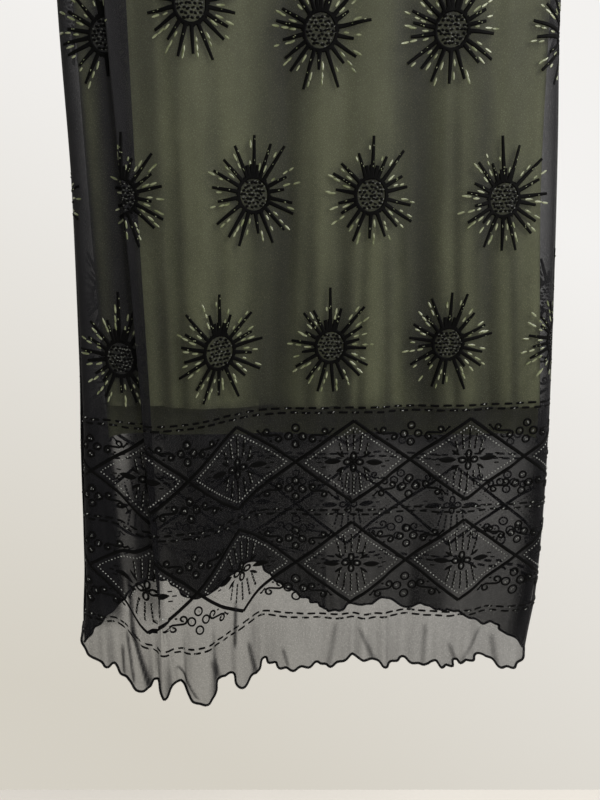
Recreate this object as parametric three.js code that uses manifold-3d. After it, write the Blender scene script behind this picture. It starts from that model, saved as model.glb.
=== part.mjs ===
// A long sleeveless dress of sheer net over a shorter lining, hung on a plain hanger.
// Millimetres, +Z up, front towards -Y. The origin is the inside crest of the hanger's hook.
import * as THREE from 'three';
import Module from 'manifold-3d';

const wasm = await Module();
wasm.setup();

// Driving sizes of the dress
const DRESS_LENGTH = 1400;        // neck point of the shoulder to the level of the front hem
const SHOULDER_DROP = 110;        // hook crest to the neck point of the shoulder
const UNDERARM = 1180;            // height of the underarm above the hem level
const NECK_HALF = 115;            // half the width of the neck
const NECK_DEPTH_FRONT = 112;
const NECK_DEPTH_BACK = 38;
const SHOULDER_SLOPE = 0.357;     // fall of the shoulder line for each millimetre outwards
const SHOULDER_EASE = 25;         // how gently the two shoulder lines meet above the neck
const CLOTH_WALL = 1.0;
const SEAM_GAP = 0.3;
const NET_TO_LINING = 3.2;        // between the middles of the two walls
const LINING_INSET = 3;           // lining edge inside the net's edge at neck and armholes
const LINING_HEM_FRONT = 313;     // height of the lining's hem above the hem level
const LINING_HEM_BACK = 272;
const HEM_Z = -(SHOULDER_DROP + DRESS_LENGTH);

// Shoulder arch over the hanger's arm, seen from the side
const NET_ARCH = 10.6;
const LINING_ARCH = 9.0;
const ARCH_START = 0.85;          // share of the height above the underarm where the arch begins

// Round sides and the deep fold
const LEFT_CORNER = 14;
const RIGHT_CORNER = 22;
const LINING_CORNER = 18;
const PLEAT_RADIUS = 2.0;
const PLEAT_OPEN_LEFT = 22;       // how far the fold's two roots move apart where it is open
const PLEAT_OPEN_RIGHT = 16;
const SIDE_MARGIN = 8;            // the open fold stays this far from the side's round
const PLEAT_STEP = 4 * PLEAT_RADIUS;
const LINING_STEP_WIDTH = 28;     // the lining comes forward over this width beside the fold

// Binding and hanger
const BINDING_RADIUS = 2.0;
const BINDING_GAP = 0.8;
const BINDING_LEVEL_FROM = 1310;  // above this height the armhole binding lies straight beside the edge
const BINDING_SIDES = 6;
const UNDERARM_BEND = 2.6;        // radius of the armhole binding's turn below the arm
const NECK_LIFT = 0.8;            // the neck binding's rise over the hanger's arms
const NECK_STEPS = 22;            // straight stretches round each half of the neck
const ARM_RADIUS = 7.6;
const ARM_DEPTH = 12;             // between the centres of the arm section's two round ends
const HANGER_HALF = 205;
const WIRE_RADIUS = 1.9;
const HOOK_RADIUS = 22;
const STEM_SINK = 10;
const STEM_HOLE_GAP = 0.3;
const STEM_HOLE_LENGTH = 40;
const CUTTER_DEPTH = 60;

// Outline of the net tube: side edges as seen from the front, and half its depth
const OUTLINE = [
  { height: -60, left: -267, right: 272, depth: 24 },
  { height: 20, left: -267, right: 279, depth: 24 },
  { height: 75, left: -259, right: 284, depth: 23 },
  { height: 210, left: -251, right: 283, depth: 22 },
  { height: 312, left: -244, right: 278, depth: 21 },
  { height: 538, left: -235, right: 263, depth: 20 },
  { height: 706, left: -234, right: 250, depth: 20 },
  { height: 950, left: -228, right: 237, depth: 20 },
  { height: 1060, left: -226, right: 226, depth: 19.5 },
  { height: 1180, left: -235, right: 235, depth: 20 },
  { height: 1400, left: -250, right: 250, depth: 20 },
];

// Side edges of the lining tube
const LINING_OUTLINE = [
  { height: 250, left: -218, right: 269 },
  { height: 312, left: -218, right: 268 },
  { height: 538, left: -219, right: 248 },
  { height: 706, left: -219, right: 241 },
  { height: 950, left: -216, right: 229 },
  { height: 1060, left: -217, right: 218 },
  { height: 1180, left: -232, right: 232 },
  { height: 1400, left: -247, right: 247 },
];

// Half width of the bodice between the armholes
const ARMHOLE = [
  { height: 1180, reach: 235 },
  { height: 1192, reach: 214 },
  { height: 1212, reach: 198 },
  { height: 1245, reach: 186 },
  { height: 1290, reach: 179 },
  { height: 1340, reach: 178 },
  { height: 1400, reach: 184 },
];

// The fold down the left of the front: its inner edge, its width and how far it is closed
const PLEAT = [
  { height: -60, inner: -160, width: 2, closed: 0.1 },
  { height: 60, inner: -162, width: 3, closed: 0.35 },
  { height: 180, inner: -164, width: 6, closed: 0.9 },
  { height: 330, inner: -164, width: 9, closed: 1 },
  { height: 508, inner: -165, width: 13, closed: 1 },
  { height: 706, inner: -164, width: 20, closed: 1 },
  { height: 930, inner: -162, width: 22, closed: 1 },
  { height: 1040, inner: -160, width: 14, closed: 0.55 },
  { height: 1130, inner: -158, width: 6, closed: 0 },
];

// Long soft folds: place across, lean for each metre up, half width and rise (minus is a trough)
const FRONT_FOLDS = [
  { place: -106, lean: -12, spread: 30, rise: 5 },
  { place: -36, lean: 8, spread: 30, rise: -4 },
  { place: 20, lean: 4, spread: 18, rise: 2.5 },
  { place: 76, lean: -18, spread: 24, rise: 4 },
  { place: 126, lean: -20, spread: 22, rise: -3 },
  { place: 176, lean: -10, spread: 26, rise: 4 },
];
const BACK_FOLDS = [
  { place: -170, lean: 10, spread: 24, rise: 5 },
  { place: -104, lean: 14, spread: 26, rise: -5 },
  { place: -40, lean: 6, spread: 22, rise: 5 },
  { place: 28, lean: -6, spread: 28, rise: -4 },
  { place: 96, lean: -14, spread: 22, rise: 6 },
  { place: 160, lean: -16, spread: 24, rise: -5 },
];
const FOLDS_FADE_FROM = 760;      // the folds die out between these two heights
const FOLDS_FADE_TO = 1150;
const BOW = 4;                    // how far the middle of each panel stands forward
const BOW_FADE = 120;             // height over which the bow dies out above the underarm
const SIDE_FADE = 26;             // width over which folds die out beside the round sides
const UNROLL = 70;                // height over which the round side opens flat at an armhole

// Waves of the front hem: place across, rise above the hem level, swing forwards
const FRONT_HEM = [
  { place: -267, rise: 26, swing: 0 },
  { place: -247, rise: 2, swing: 5 },
  { place: -230, rise: -4, swing: -4 },
  { place: -214, rise: -28, swing: 7 },
  { place: -192, rise: -41, swing: -8 },
  { place: -180, rise: -39, swing: 4 },
  { place: -168, rise: -54, swing: 9 },
  { place: -156, rise: -37, swing: -8 },
  { place: -145, rise: -34, swing: -3 },
  { place: -134, rise: -51, swing: 8 },
  { place: -117, rise: -56, swing: 9 },
  { place: -101, rise: -40, swing: -7 },
  { place: -84, rise: -19, swing: -5 },
  { place: -67, rise: -27, swing: 7 },
  { place: -46, rise: -10, swing: -6 },
  { place: -22, rise: -3, swing: 5 },
  { place: 7, rise: -6, swing: -5 },
  { place: 26, rise: 0, swing: 4 },
  { place: 46, rise: 2, swing: -4 },
  { place: 69, rise: 10, swing: 5 },
  { place: 94, rise: -1, swing: -5 },
  { place: 118, rise: 4, swing: 4 },
  { place: 142, rise: -3, swing: -4 },
  { place: 162, rise: 1, swing: 4 },
  { place: 182, rise: 3, swing: -5 },
  { place: 204, rise: 4, swing: 4 },
  { place: 226, rise: -1, swing: -4 },
  { place: 245, rise: -7, swing: 5 },
  { place: 279, rise: 0, swing: 0 },
];

// Waves of the back hem, which hangs higher
const BACK_HEM = [
  { place: -267, rise: 8, swing: 0 },
  { place: -231, rise: 42, swing: 5 },
  { place: -200, rise: 77, swing: -5 },
  { place: -169, rise: 70, swing: 6 },
  { place: -140, rise: 55, swing: -5 },
  { place: -112, rise: 60, swing: 5 },
  { place: -86, rise: 88, swing: -4 },
  { place: -58, rise: 100, swing: 5 },
  { place: -34, rise: 80, swing: -5 },
  { place: 0, rise: 53, swing: 5 },
  { place: 30, rise: 40, swing: -5 },
  { place: 60, rise: 41, swing: 5 },
  { place: 104, rise: 60, swing: -5 },
  { place: 139, rise: 43, swing: 5 },
  { place: 175, rise: 42, swing: -5 },
  { place: 208, rise: 32, swing: 5 },
  { place: 238, rise: 18, swing: -4 },
  { place: 279, rise: 0, swing: 0 },
];
const HEM_RISE_FADE = 170;        // the hem's waves die out over these heights
const HEM_SWING_FADE = 130;

// Heights of the rows of points, with the fine rows at the hem
const FINE_ROWS = [0, 8, 20, 40, 70];
const BODY_ROWS = [110, 175, 245, 312, 420, 540, 660, 790, 920, 1000, 1070, 1130, 1180];
const BODICE_ROWS = [1187, 1197, 1212, 1235, 1265, 1305, 1367, 1378, 1389, 1400];
const LINING_ROWS = [420, 540, 660, 790, 920, 1000, 1070, 1130, 1180];

// Stretches across a panel: where each ends, and its steps in the fine and in the other rows
const FRONT_STRETCHES = [
  { name: 'left_corner', end: 0.05, fine: 4, coarse: 3 },
  { name: 'recess', end: 0.12, fine: 5, coarse: 2 },
  { name: 'rear_bend', end: 0.17, fine: 4, coarse: 4 },
  { name: 'middle', end: 0.2, fine: 1, coarse: 1 },
  { name: 'front_bend', end: 0.25, fine: 4, coarse: 4 },
  { name: 'main', end: 0.94, fine: 64, coarse: 22 },
  { name: 'right_corner', end: 1, fine: 5, coarse: 4 },
];
const BACK_STRETCHES = [
  { name: 'left_corner', end: 0.06, fine: 4, coarse: 3 },
  { name: 'main', end: 0.94, fine: 44, coarse: 20 },
  { name: 'right_corner', end: 1, fine: 4, coarse: 3 },
];
const LINING_STRETCHES = [
  { name: 'left_corner', end: 0.06, fine: 3, coarse: 3 },
  { name: 'main', end: 0.94, fine: 18, coarse: 18 },
  { name: 'right_corner', end: 1, fine: 3, coarse: 3 },
];

const lerp = (a, b, t) => a + (b - a) * t;
const clamp = (t) => Math.min(1, Math.max(0, t));
const smooth = (t) => clamp(t) ** 2 * (3 - 2 * clamp(t));

// Slope of a table's column at row i
function slopeAt(table, key, column, i) {
  const before = table[Math.max(0, i - 1)];
  const after = table[Math.min(table.length - 1, i + 1)];
  return (after[column] - before[column]) / (after[key] - before[key]);
}

// Value of a table's column at a place between its rows, on a smooth curve
function read(table, key, column, place) {
  const last = table.length - 1;
  const at = Math.min(table[last][key], Math.max(table[0][key], place));
  let i = 0;
  while (i < last - 1 && table[i + 1][key] < at) i += 1;
  const span = table[i + 1][key] - table[i][key];
  const t = (at - table[i][key]) / span;
  const rise = table[i + 1][column] - table[i][column];
  const startSlope = slopeAt(table, key, column, i) * span;
  const endSlope = slopeAt(table, key, column, i + 1) * span;
  const curve = t * t * (3 - 2 * t) * rise;
  return table[i][column] + curve + t * (1 - t) ** 2 * startSlope - t * t * (1 - t) * endSlope;
}

// Top of the net's shoulder line above a place across
function shoulderLine(x) {
  const outwards = Math.hypot(x, SHOULDER_EASE) - Math.hypot(NECK_HALF, SHOULDER_EASE);
  return -SHOULDER_DROP - SHOULDER_SLOPE * outwards;
}

// Centre of the shoulder arch above a place across
const archCentre = (x) => shoulderLine(x) - NET_ARCH;

// Side edge of a panel at a height: the seam below the underarm, the armhole above it
function sideEdge(outline, inset, column, height) {
  if (height <= UNDERARM) return read(outline, 'height', column, height);
  const reach = read(ARMHOLE, 'height', 'reach', height) - inset;
  return column === 'left' ? -reach : reach;
}

// Depth of the tube's half at a height
const halfDepth = (height) => read(OUTLINE, 'height', 'depth', height);

// Rise of the long soft folds and of the bow, which dies out towards the sides
function relief(folds, x, height) {
  const left = sideEdge(OUTLINE, 0, 'left', height);
  const right = sideEdge(OUTLINE, 0, 'right', height);
  const middle = (left + right) / 2;
  const across = (x - middle) / ((right - left) / 2);
  const fade = 1 - smooth((height - FOLDS_FADE_FROM) / (FOLDS_FADE_TO - FOLDS_FADE_FROM));
  const topFade = 1 - smooth((height - UNDERARM) / BOW_FADE);
  const fromLeft = smooth((x - left - LEFT_CORNER) / SIDE_FADE);
  const fromRight = smooth((right - RIGHT_CORNER - x) / SIDE_FADE);
  let rise = BOW * Math.max(0, 1 - across * across) * topFade;
  for (const fold of folds) {
    const place = fold.place + fold.lean * (height - LINING_HEM_FRONT) / 1000;
    rise += fold.rise * Math.exp(-(((x - place) / fold.spread) ** 2)) * fade;
  }
  return rise * fromLeft * fromRight;
}

// Swing of the hem's waves, which dies out upwards and towards the sides
function hemSwing(hem, x, height) {
  const left = sideEdge(OUTLINE, 0, 'left', height);
  const right = sideEdge(OUTLINE, 0, 'right', height);
  const sides = smooth((x - left) / SIDE_FADE) * smooth((right - x) / SIDE_FADE);
  return read(hem, 'place', 'swing', x) * (1 - smooth(height / HEM_SWING_FADE)) * sides;
}

// Real height of a point, with the hem's waves at the bottom and the shoulder at the top
function level(hem, x, height, arch) {
  if (height <= UNDERARM) {
    const rise = hem ? read(hem, 'place', 'rise', x) * (1 - smooth(height / HEM_RISE_FADE)) : 0;
    return HEM_Z + height + rise;
  }
  const share = (height - UNDERARM) / (DRESS_LENGTH - UNDERARM);
  const bottom = HEM_Z + UNDERARM;
  const centre = archCentre(x);
  if (share < ARCH_START) return lerp(bottom, centre, share / ARCH_START);
  return centre + arch * Math.sin(archAngle(height));
}

// Angle round the shoulder arch, 0 where it begins and a right angle at its top
function archAngle(height) {
  const share = (height - UNDERARM) / (DRESS_LENGTH - UNDERARM);
  return clamp((share - ARCH_START) / (1 - ARCH_START)) * Math.PI / 2;
}

// Depth of a section's face, from its full depth in the skirt to the arch over the shoulder
function faceDepth(height, arch, inset) {
  const share = clamp((height - UNDERARM) / (DRESS_LENGTH - UNDERARM) / ARCH_START);
  const full = halfDepth(Math.min(height, UNDERARM)) - inset;
  return lerp(full, arch, smooth(share)) * Math.cos(archAngle(height));
}

// Round side of a section at a share t from the seam to the face, which opens flat beside
// an armhole: how far in from the side edge, and how much of the face's depth
function roundSide(width, t, height) {
  const unrolled = smooth((height - UNDERARM) / UNROLL);
  const angle = t * Math.PI / 2;
  return [width * lerp(1 - Math.cos(angle), t, unrolled), lerp(Math.sin(angle), 1, unrolled)];
}

// How far round the deep fold a point lies, for the fold fully closed
function closedFold(stretch, t, inner, outer, rear) {
  const turn = Math.PI * t;
  const r = PLEAT_RADIUS;
  if (stretch === 'rear_bend') {
    return [inner - r + r * Math.sin(turn), rear - r + r * Math.cos(turn)];
  }
  if (stretch === 'middle') return [lerp(inner - r, outer + r, t), rear - 2 * r];
  return [outer + r - r * Math.sin(turn), rear - 3 * r + r * Math.cos(turn)];
}

// Share of the way across the fold's three stretches
const FOLD_SHARE = { rear_bend: [0, 0.4], middle: [0.4, 0.6], front_bend: [0.6, 1] };

// Stretch of a panel and the share of it at a place u between its two sides
function locate(stretches, u) {
  let start = 0;
  for (const stretch of stretches) {
    if (u <= stretch.end + 1e-9) {
      return { name: stretch.name, t: clamp((u - start) / (stretch.end - start)) };
    }
    start = stretch.end;
  }
  return { name: stretches[stretches.length - 1].name, t: 1 };
}

// Middle of the net's front panel at a place u across and a height
function netFront(u, height) {
  const { name, t } = locate(FRONT_STRETCHES, u);
  const left = sideEdge(OUTLINE, 0, 'left', height);
  const right = sideEdge(OUTLINE, 0, 'right', height);
  const closed = clamp(read(PLEAT, 'height', 'closed', height));
  const inner = read(PLEAT, 'height', 'inner', height);
  const outer = inner - read(PLEAT, 'height', 'width', height);
  const face = -faceDepth(height, NET_ARCH, 0);
  const rear = face + PLEAT_STEP * closed;
  const openLeft = Math.max(inner - PLEAT_OPEN_LEFT, left + LEFT_CORNER + SIDE_MARGIN);
  const rootLeft = lerp(openLeft, inner - PLEAT_RADIUS, closed);
  const rootRight = lerp(inner + PLEAT_OPEN_RIGHT, outer + PLEAT_RADIUS, closed);
  let x = 0;
  let y = 0;
  if (name === 'left_corner') {
    const [inwards, share] = roundSide(LEFT_CORNER, t, height);
    x = left + inwards;
    y = rear * share;
  } else if (name === 'recess') {
    x = lerp(left + LEFT_CORNER, rootLeft, t);
    y = rear;
  } else if (name === 'main') {
    x = lerp(rootRight, right - RIGHT_CORNER, t);
    y = face;
  } else if (name === 'right_corner') {
    const [inwards, share] = roundSide(RIGHT_CORNER, 1 - t, height);
    x = right - inwards;
    y = face * share;
  } else {
    const share = lerp(...FOLD_SHARE[name], t);
    const fold = closedFold(name, t, inner, outer, rear);
    x = lerp(lerp(rootLeft, rootRight, share), fold[0], closed);
    y = lerp(lerp(rear, face, share), fold[1], closed);
  }
  y -= relief(FRONT_FOLDS, x, height) + hemSwing(FRONT_HEM, x, height);
  return [x, Math.min(y, -SEAM_GAP / 2), level(FRONT_HEM, x, height, NET_ARCH)];
}

// Middle of a panel with no deep fold; side is -1 for the front and 1 for the back
function plainPanel(cut, u, height) {
  const { name, t } = locate(cut.stretches, u);
  const left = sideEdge(cut.outline, cut.inset, 'left', height);
  const right = sideEdge(cut.outline, cut.inset, 'right', height);
  const face = faceDepth(height, cut.arch, cut.depthInset);
  let x = lerp(left + cut.corner, right - cut.corner, t);
  let share = 1;
  if (name !== 'main') {
    const isLeft = name === 'left_corner';
    const [inwards, depthShare] = roundSide(cut.corner, isLeft ? t : 1 - t, height);
    x = isLeft ? left + inwards : right - inwards;
    share = depthShare;
  }
  let depth = face * share + relief(cut.folds, x, height);
  if (cut.hem) depth += hemSwing(cut.hem, x, height);
  if (cut.steps) depth -= liningStep(x, height) * share;
  return [x, cut.side * Math.max(depth, SEAM_GAP / 2), level(cut.hem, x, height, cut.arch)];
}

// A plain panel's points, for its cut
const panel = (cut) => (u, height) => plainPanel(cut, u, height);

// The front lining lies behind the deep fold's rear layer and comes forward beside it
function liningStep(x, height) {
  const closed = clamp(read(PLEAT, 'height', 'closed', height));
  const inner = read(PLEAT, 'height', 'inner', height);
  return PLEAT_STEP * closed * (1 - smooth((x - inner - PLEAT_RADIUS) / LINING_STEP_WIDTH));
}

const NET_BACK_CUT = {
  stretches: BACK_STRETCHES, outline: OUTLINE, inset: 0, arch: NET_ARCH, depthInset: 0,
  corner: RIGHT_CORNER, folds: BACK_FOLDS, hem: BACK_HEM, side: 1,
};
const LINING_FRONT_CUT = {
  stretches: LINING_STRETCHES, outline: LINING_OUTLINE, inset: LINING_INSET, arch: LINING_ARCH,
  depthInset: NET_TO_LINING, corner: LINING_CORNER,
  folds: FRONT_FOLDS, hem: null, side: -1, steps: true,
};
const LINING_BACK_CUT = { ...LINING_FRONT_CUT, folds: BACK_FOLDS, side: 1, steps: false };

// Outward direction of a panel at a place, kept level with its seams at the seams
function outward(point, u, height, side) {
  const du = 1e-4;
  const dh = 0.05;
  const top = DRESS_LENGTH;
  const a = new THREE.Vector3(...point(Math.max(0, u - du), height));
  const b = new THREE.Vector3(...point(Math.min(1, u + du), height));
  const c = new THREE.Vector3(...point(u, Math.max(0, height - dh)));
  const d = new THREE.Vector3(...point(u, Math.min(top, height + dh)));
  const normal = b.sub(a).cross(d.sub(c)).multiplyScalar(-side);
  const onSeam = (u === 0 || u === 1) && height <= UNDERARM;
  if (onSeam || height === top) normal.y = 0;
  return normal.normalize();
}

// Places u across a panel for one row
function placesAcross(stretches, steps) {
  const places = [0];
  let start = 0;
  for (const stretch of stretches) {
    const count = stretch[steps];
    for (let i = 1; i <= count; i += 1) places.push(lerp(start, stretch.end, i / count));
    start = stretch.end;
  }
  return places;
}

// Strip of triangles between two rows whose places across may differ
function zip(low, high, faces) {
  let i = 0;
  let j = 0;
  while (i < low.length - 1 || j < high.length - 1) {
    const stepLow = j === high.length - 1
      || (i < low.length - 1 && low[i + 1].u + low[i].u <= high[j + 1].u + high[j].u);
    if (stepLow) {
      faces.push([low[i].index, low[i + 1].index, high[j].index]);
      i += 1;
    } else {
      faces.push([low[i].index, high[j + 1].index, high[j].index]);
      j += 1;
    }
  }
}

// Closed wall of cloth about a panel's middle surface
function clothWall(point, stretches, rows, side) {
  const vertices = [];
  const grids = [[], []];
  for (const row of rows) {
    const places = placesAcross(stretches, row.steps);
    const lines = [[], []];
    for (const u of places) {
      const middle = new THREE.Vector3(...point(u, row.height));
      const normal = outward(point, u, row.height, side);
      [0.5, -0.5].forEach((half, layer) => {
        lines[layer].push({ u, index: vertices.length });
        vertices.push(middle.clone().addScaledVector(normal, half * CLOTH_WALL));
      });
    }
    grids[0].push(lines[0]);
    grids[1].push(lines[1]);
  }
  const outer = [];
  const inner = [];
  for (let k = 0; k < rows.length - 1; k += 1) {
    zip(grids[0][k], grids[0][k + 1], outer);
    zip(grids[1][k], grids[1][k + 1], inner);
  }
  const faces = [...outer, ...inner.map((f) => [f[0], f[2], f[1]])];
  const quad = (a, b, c, d) => faces.push([a, b, c], [a, c, d]);
  const last = rows.length - 1;
  for (let i = 0; i < grids[0][0].length - 1; i += 1) {
    const [o, n] = [grids[0][0], grids[1][0]];
    quad(o[i].index, n[i].index, n[i + 1].index, o[i + 1].index);
  }
  for (let i = 0; i < grids[0][last].length - 1; i += 1) {
    const [o, n] = [grids[0][last], grids[1][last]];
    quad(o[i].index, o[i + 1].index, n[i + 1].index, n[i].index);
  }
  for (let k = 0; k < last; k += 1) {
    const start = (layer, row) => grids[layer][row][0].index;
    const end = (layer, row) => grids[layer][row][grids[layer][row].length - 1].index;
    quad(start(0, k), start(0, k + 1), start(1, k + 1), start(1, k));
    quad(end(0, k), end(1, k), end(1, k + 1), end(0, k + 1));
  }
  return toSolid(vertices, side < 0 ? faces : faces.map((f) => [f[0], f[2], f[1]]));
}

// Solid for cutting and joining, from points and faces
function toSolid(vertices, faces) {
  const vertProperties = new Float32Array(vertices.flatMap((v) => [v.x, v.y, v.z]));
  const triVerts = new Uint32Array(faces.flat());
  return new wasm.Manifold(new wasm.Mesh({ numProp: 3, vertProperties, triVerts }));
}

// Solid from a geometry whose faces close it
function geometrySolid(geometry) {
  const position = (geometry.index ? geometry.toNonIndexed() : geometry).attributes.position;
  const seen = new Map();
  const vertices = [];
  const indices = [];
  for (let i = 0; i < position.count; i += 1) {
    const v = new THREE.Vector3().fromBufferAttribute(position, i);
    const key = [v.x, v.y, v.z].map((c) => Math.round(c * 1e4)).join(' ');
    if (!seen.has(key)) {
      seen.set(key, vertices.length);
      vertices.push(v);
    }
    indices.push(seen.get(key));
  }
  const faces = [];
  for (let i = 0; i < indices.length; i += 3) {
    const face = indices.slice(i, i + 3);
    if (new Set(face).size === 3) faces.push(face);
  }
  return toSolid(vertices, faces);
}

// Geometry of a solid after its cuts
function solidGeometry(solid) {
  const mesh = solid.getMesh();
  const geometry = new THREE.BufferGeometry();
  const positions = new Float32Array(mesh.numVert * 3);
  for (let i = 0; i < mesh.numVert; i += 1) {
    for (let c = 0; c < 3; c += 1) positions[3 * i + c] = mesh.vertProperties[mesh.numProp * i + c];
  }
  geometry.setAttribute('position', new THREE.BufferAttribute(positions, 3));
  geometry.setIndex(new THREE.BufferAttribute(mesh.triVerts.slice(), 1));
  geometry.computeVertexNormals();
  return geometry;
}

// Block that cuts the neck out of one panel; side is -1 for the front and 1 for the back
function neckCutter(side, depth, inset) {
  const half = NECK_HALF + inset;
  const shape = new THREE.Shape();
  shape.moveTo(-half, 0);
  shape.lineTo(-half, -SHOULDER_DROP);
  shape.absellipse(0, -SHOULDER_DROP, half, depth + inset, Math.PI, 2 * Math.PI, false);
  shape.lineTo(half, 0);
  shape.closePath();
  const geometry = new THREE.ExtrudeGeometry(shape, {
    depth: CUTTER_DEPTH, bevelEnabled: false, curveSegments: NECK_STEPS,
  });
  geometry.rotateX(Math.PI / 2);
  if (side > 0) geometry.translate(0, CUTTER_DEPTH, 0);
  return geometrySolid(geometry);
}

// Height along a panel of a point at a real level in the bodice
function bodiceHeight(x, z) {
  const bottom = HEM_Z + UNDERARM;
  const centre = archCentre(x);
  const span = DRESS_LENGTH - UNDERARM;
  if (z <= centre) return UNDERARM + span * ARCH_START * (z - bottom) / (centre - bottom);
  const angle = Math.asin(clamp((z - centre) / NET_ARCH));
  return UNDERARM + span * lerp(ARCH_START, 1, angle / (Math.PI / 2));
}

// Closed round tube through a loop of points about its middle
function loopTube(points, radius, sides) {
  const steps = points.length;
  const middle = points.reduce((sum, p) => sum.add(p), new THREE.Vector3()).divideScalar(steps);
  const vertices = [];
  points.forEach((centre, i) => {
    const along = points[(i + 1) % steps].clone().sub(points[(i + steps - 1) % steps]).normalize();
    const spoke = centre.clone().sub(middle);
    const out = spoke.addScaledVector(along, -spoke.dot(along)).normalize();
    const across = along.clone().cross(out);
    for (let k = 0; k < sides; k += 1) {
      const angle = 2 * Math.PI * k / sides;
      const offset = out.clone().multiplyScalar(Math.cos(angle)).addScaledVector(across, Math.sin(angle));
      vertices.push(centre.clone().addScaledVector(offset, radius));
    }
  });
  const faces = [];
  const at = (i, k) => (i % steps) * sides + (k % sides);
  for (let i = 0; i < steps; i += 1) {
    for (let k = 0; k < sides; k += 1) {
      faces.push([at(i, k), at(i + 1, k + 1), at(i + 1, k)], [at(i, k), at(i, k + 1), at(i + 1, k + 1)]);
    }
  }
  return toSolid(vertices, faces);
}

// Binding round the neck, just inside the cut edges of both net panels
function neckBinding() {
  const offset = BINDING_RADIUS + BINDING_GAP;
  const half = NECK_HALF - offset;
  const arch = NET_ARCH + NECK_LIFT;
  const points = [];
  [[-1, NECK_DEPTH_FRONT], [1, NECK_DEPTH_BACK]].forEach(([side, depth]) => {
    const first = side < 0 ? 1 : 2;
    for (let i = first; i <= NECK_STEPS - first; i += 1) {
      const angle = Math.PI * i / NECK_STEPS;
      const x = side * half * Math.cos(angle);
      const z = -SHOULDER_DROP - (depth - offset) * Math.sin(angle);
      const height = bodiceHeight(x, z);
      const face = faceDepth(height, NET_ARCH, 0) + relief([], x, height);
      points.push(new THREE.Vector3(x, side * face, z));
    }
    for (const degrees of [15, 52, 90, 128, 165]) {
      const turn = THREE.MathUtils.degToRad(degrees);
      const y = side * arch * Math.cos(turn);
      const z = archCentre(half) + arch * Math.sin(turn);
      const depthHere = y < 0 ? NECK_DEPTH_FRONT : NECK_DEPTH_BACK;
      const fall = Math.max(0, -SHOULDER_DROP - z) / (depthHere - offset);
      points.push(new THREE.Vector3(-side * half * Math.sqrt(1 - fall * fall), y, z));
    }
  });
  return loopTube(points, BINDING_RADIUS, BINDING_SIDES);
}

// Binding round one armhole; hand is -1 for the left of the picture and 1 for its right
function armholeBinding(hand) {
  const offset = BINDING_RADIUS + BINDING_GAP;
  const u = hand < 0 ? 0 : 1;
  const place = (point, height) => {
    const here = new THREE.Vector3(...point(u, height));
    const before = new THREE.Vector3(...point(u, height - 1));
    const after = new THREE.Vector3(...point(u, height + 1));
    const along = after.sub(before);
    const out = new THREE.Vector3(hand * along.z, 0, -hand * along.x).normalize();
    if (height > BINDING_LEVEL_FROM) out.set(hand, 0, 0);
    return here.addScaledVector(out, offset);
  };
  const heights = BODICE_ROWS.slice(0, -1);
  const apart = (point, side) => point.setY(side * Math.max(Math.abs(point.y), UNDERARM_BEND));
  const seam = place(netFront, UNDERARM + 1).setY(0);
  const top = place(netFront, DRESS_LENGTH - 2).setY(0);
  const front = heights.map((height) => apart(place(netFront, height), -1));
  const back = heights.map((height) => apart(place(panel(NET_BACK_CUT), height), 1)).reverse();
  const upwards = front[0].clone().setY(0).sub(seam).normalize();
  const bend = [60, 0, -60].map((degrees) => {
    const turn = THREE.MathUtils.degToRad(degrees);
    const point = seam.clone().addScaledVector(upwards, UNDERARM_BEND * (1 - Math.cos(turn)));
    return point.setY(UNDERARM_BEND * Math.sin(turn));
  });
  return loopTube([...bend, ...front, top, ...back], BINDING_RADIUS, BINDING_SIDES);
}

// Centre line of the hanger's arms, under the middle of the shoulder arch
class ArmLine extends THREE.Curve {
  getPoint(t, target = new THREE.Vector3()) {
    const x = lerp(-HANGER_HALF, HANGER_HALF, t);
    return target.set(x, 0, archCentre(x));
  }
}

// Arms of the hanger, an oval section along the shoulder line, with a hole for the hook;
// the section's second axis points down
function hangerArms() {
  const section = new THREE.Shape();
  section.absarc(0, ARM_DEPTH, ARM_RADIUS, 0, Math.PI, false);
  section.absarc(0, 0, ARM_RADIUS, Math.PI, 2 * Math.PI, false);
  section.closePath();
  const arms = geometrySolid(new THREE.ExtrudeGeometry(section, {
    steps: 14, curveSegments: 4, extrudePath: new ArmLine(),
  }));
  const radius = WIRE_RADIUS + STEM_HOLE_GAP;
  const hole = new THREE.CylinderGeometry(radius, radius, STEM_HOLE_LENGTH, 12);
  hole.rotateX(Math.PI / 2);
  hole.translate(0, 0, archCentre(0) + ARM_RADIUS - STEM_SINK + STEM_HOLE_LENGTH / 2);
  return arms.subtract(geometrySolid(hole));
}

// Hook of bent wire whose inside crest is the origin
function hangerHook() {
  const centre = WIRE_RADIUS - HOOK_RADIUS;
  const stemBottom = archCentre(0) + ARM_RADIUS - STEM_SINK + STEM_HOLE_GAP;
  const points = [0, 8, 16, 24].map((rise) => new THREE.Vector3(0, 0, stemBottom + rise));
  for (let degrees = -48; degrees <= 204; degrees += 28) {
    const angle = THREE.MathUtils.degToRad(degrees);
    points.push(new THREE.Vector3(HOOK_RADIUS * Math.cos(angle), 0, centre + HOOK_RADIUS * Math.sin(angle)));
  }
  const wire = new THREE.Shape();
  wire.absarc(0, 0, WIRE_RADIUS, 0, 2 * Math.PI, false);
  return geometrySolid(new THREE.ExtrudeGeometry(wire, {
    steps: 30, curveSegments: 4, extrudePath: new THREE.CatmullRomCurve3(points),
  }));
}

const fineRow = (height) => ({ height, steps: 'fine' });
const coarseRow = (height) => ({ height, steps: 'coarse' });
const netRows = [...FINE_ROWS.map(fineRow), ...[...BODY_ROWS, ...BODICE_ROWS].map(coarseRow)];
const liningRows = (hem) => [hem, ...LINING_ROWS, ...BODICE_ROWS].map(coarseRow);

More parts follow.
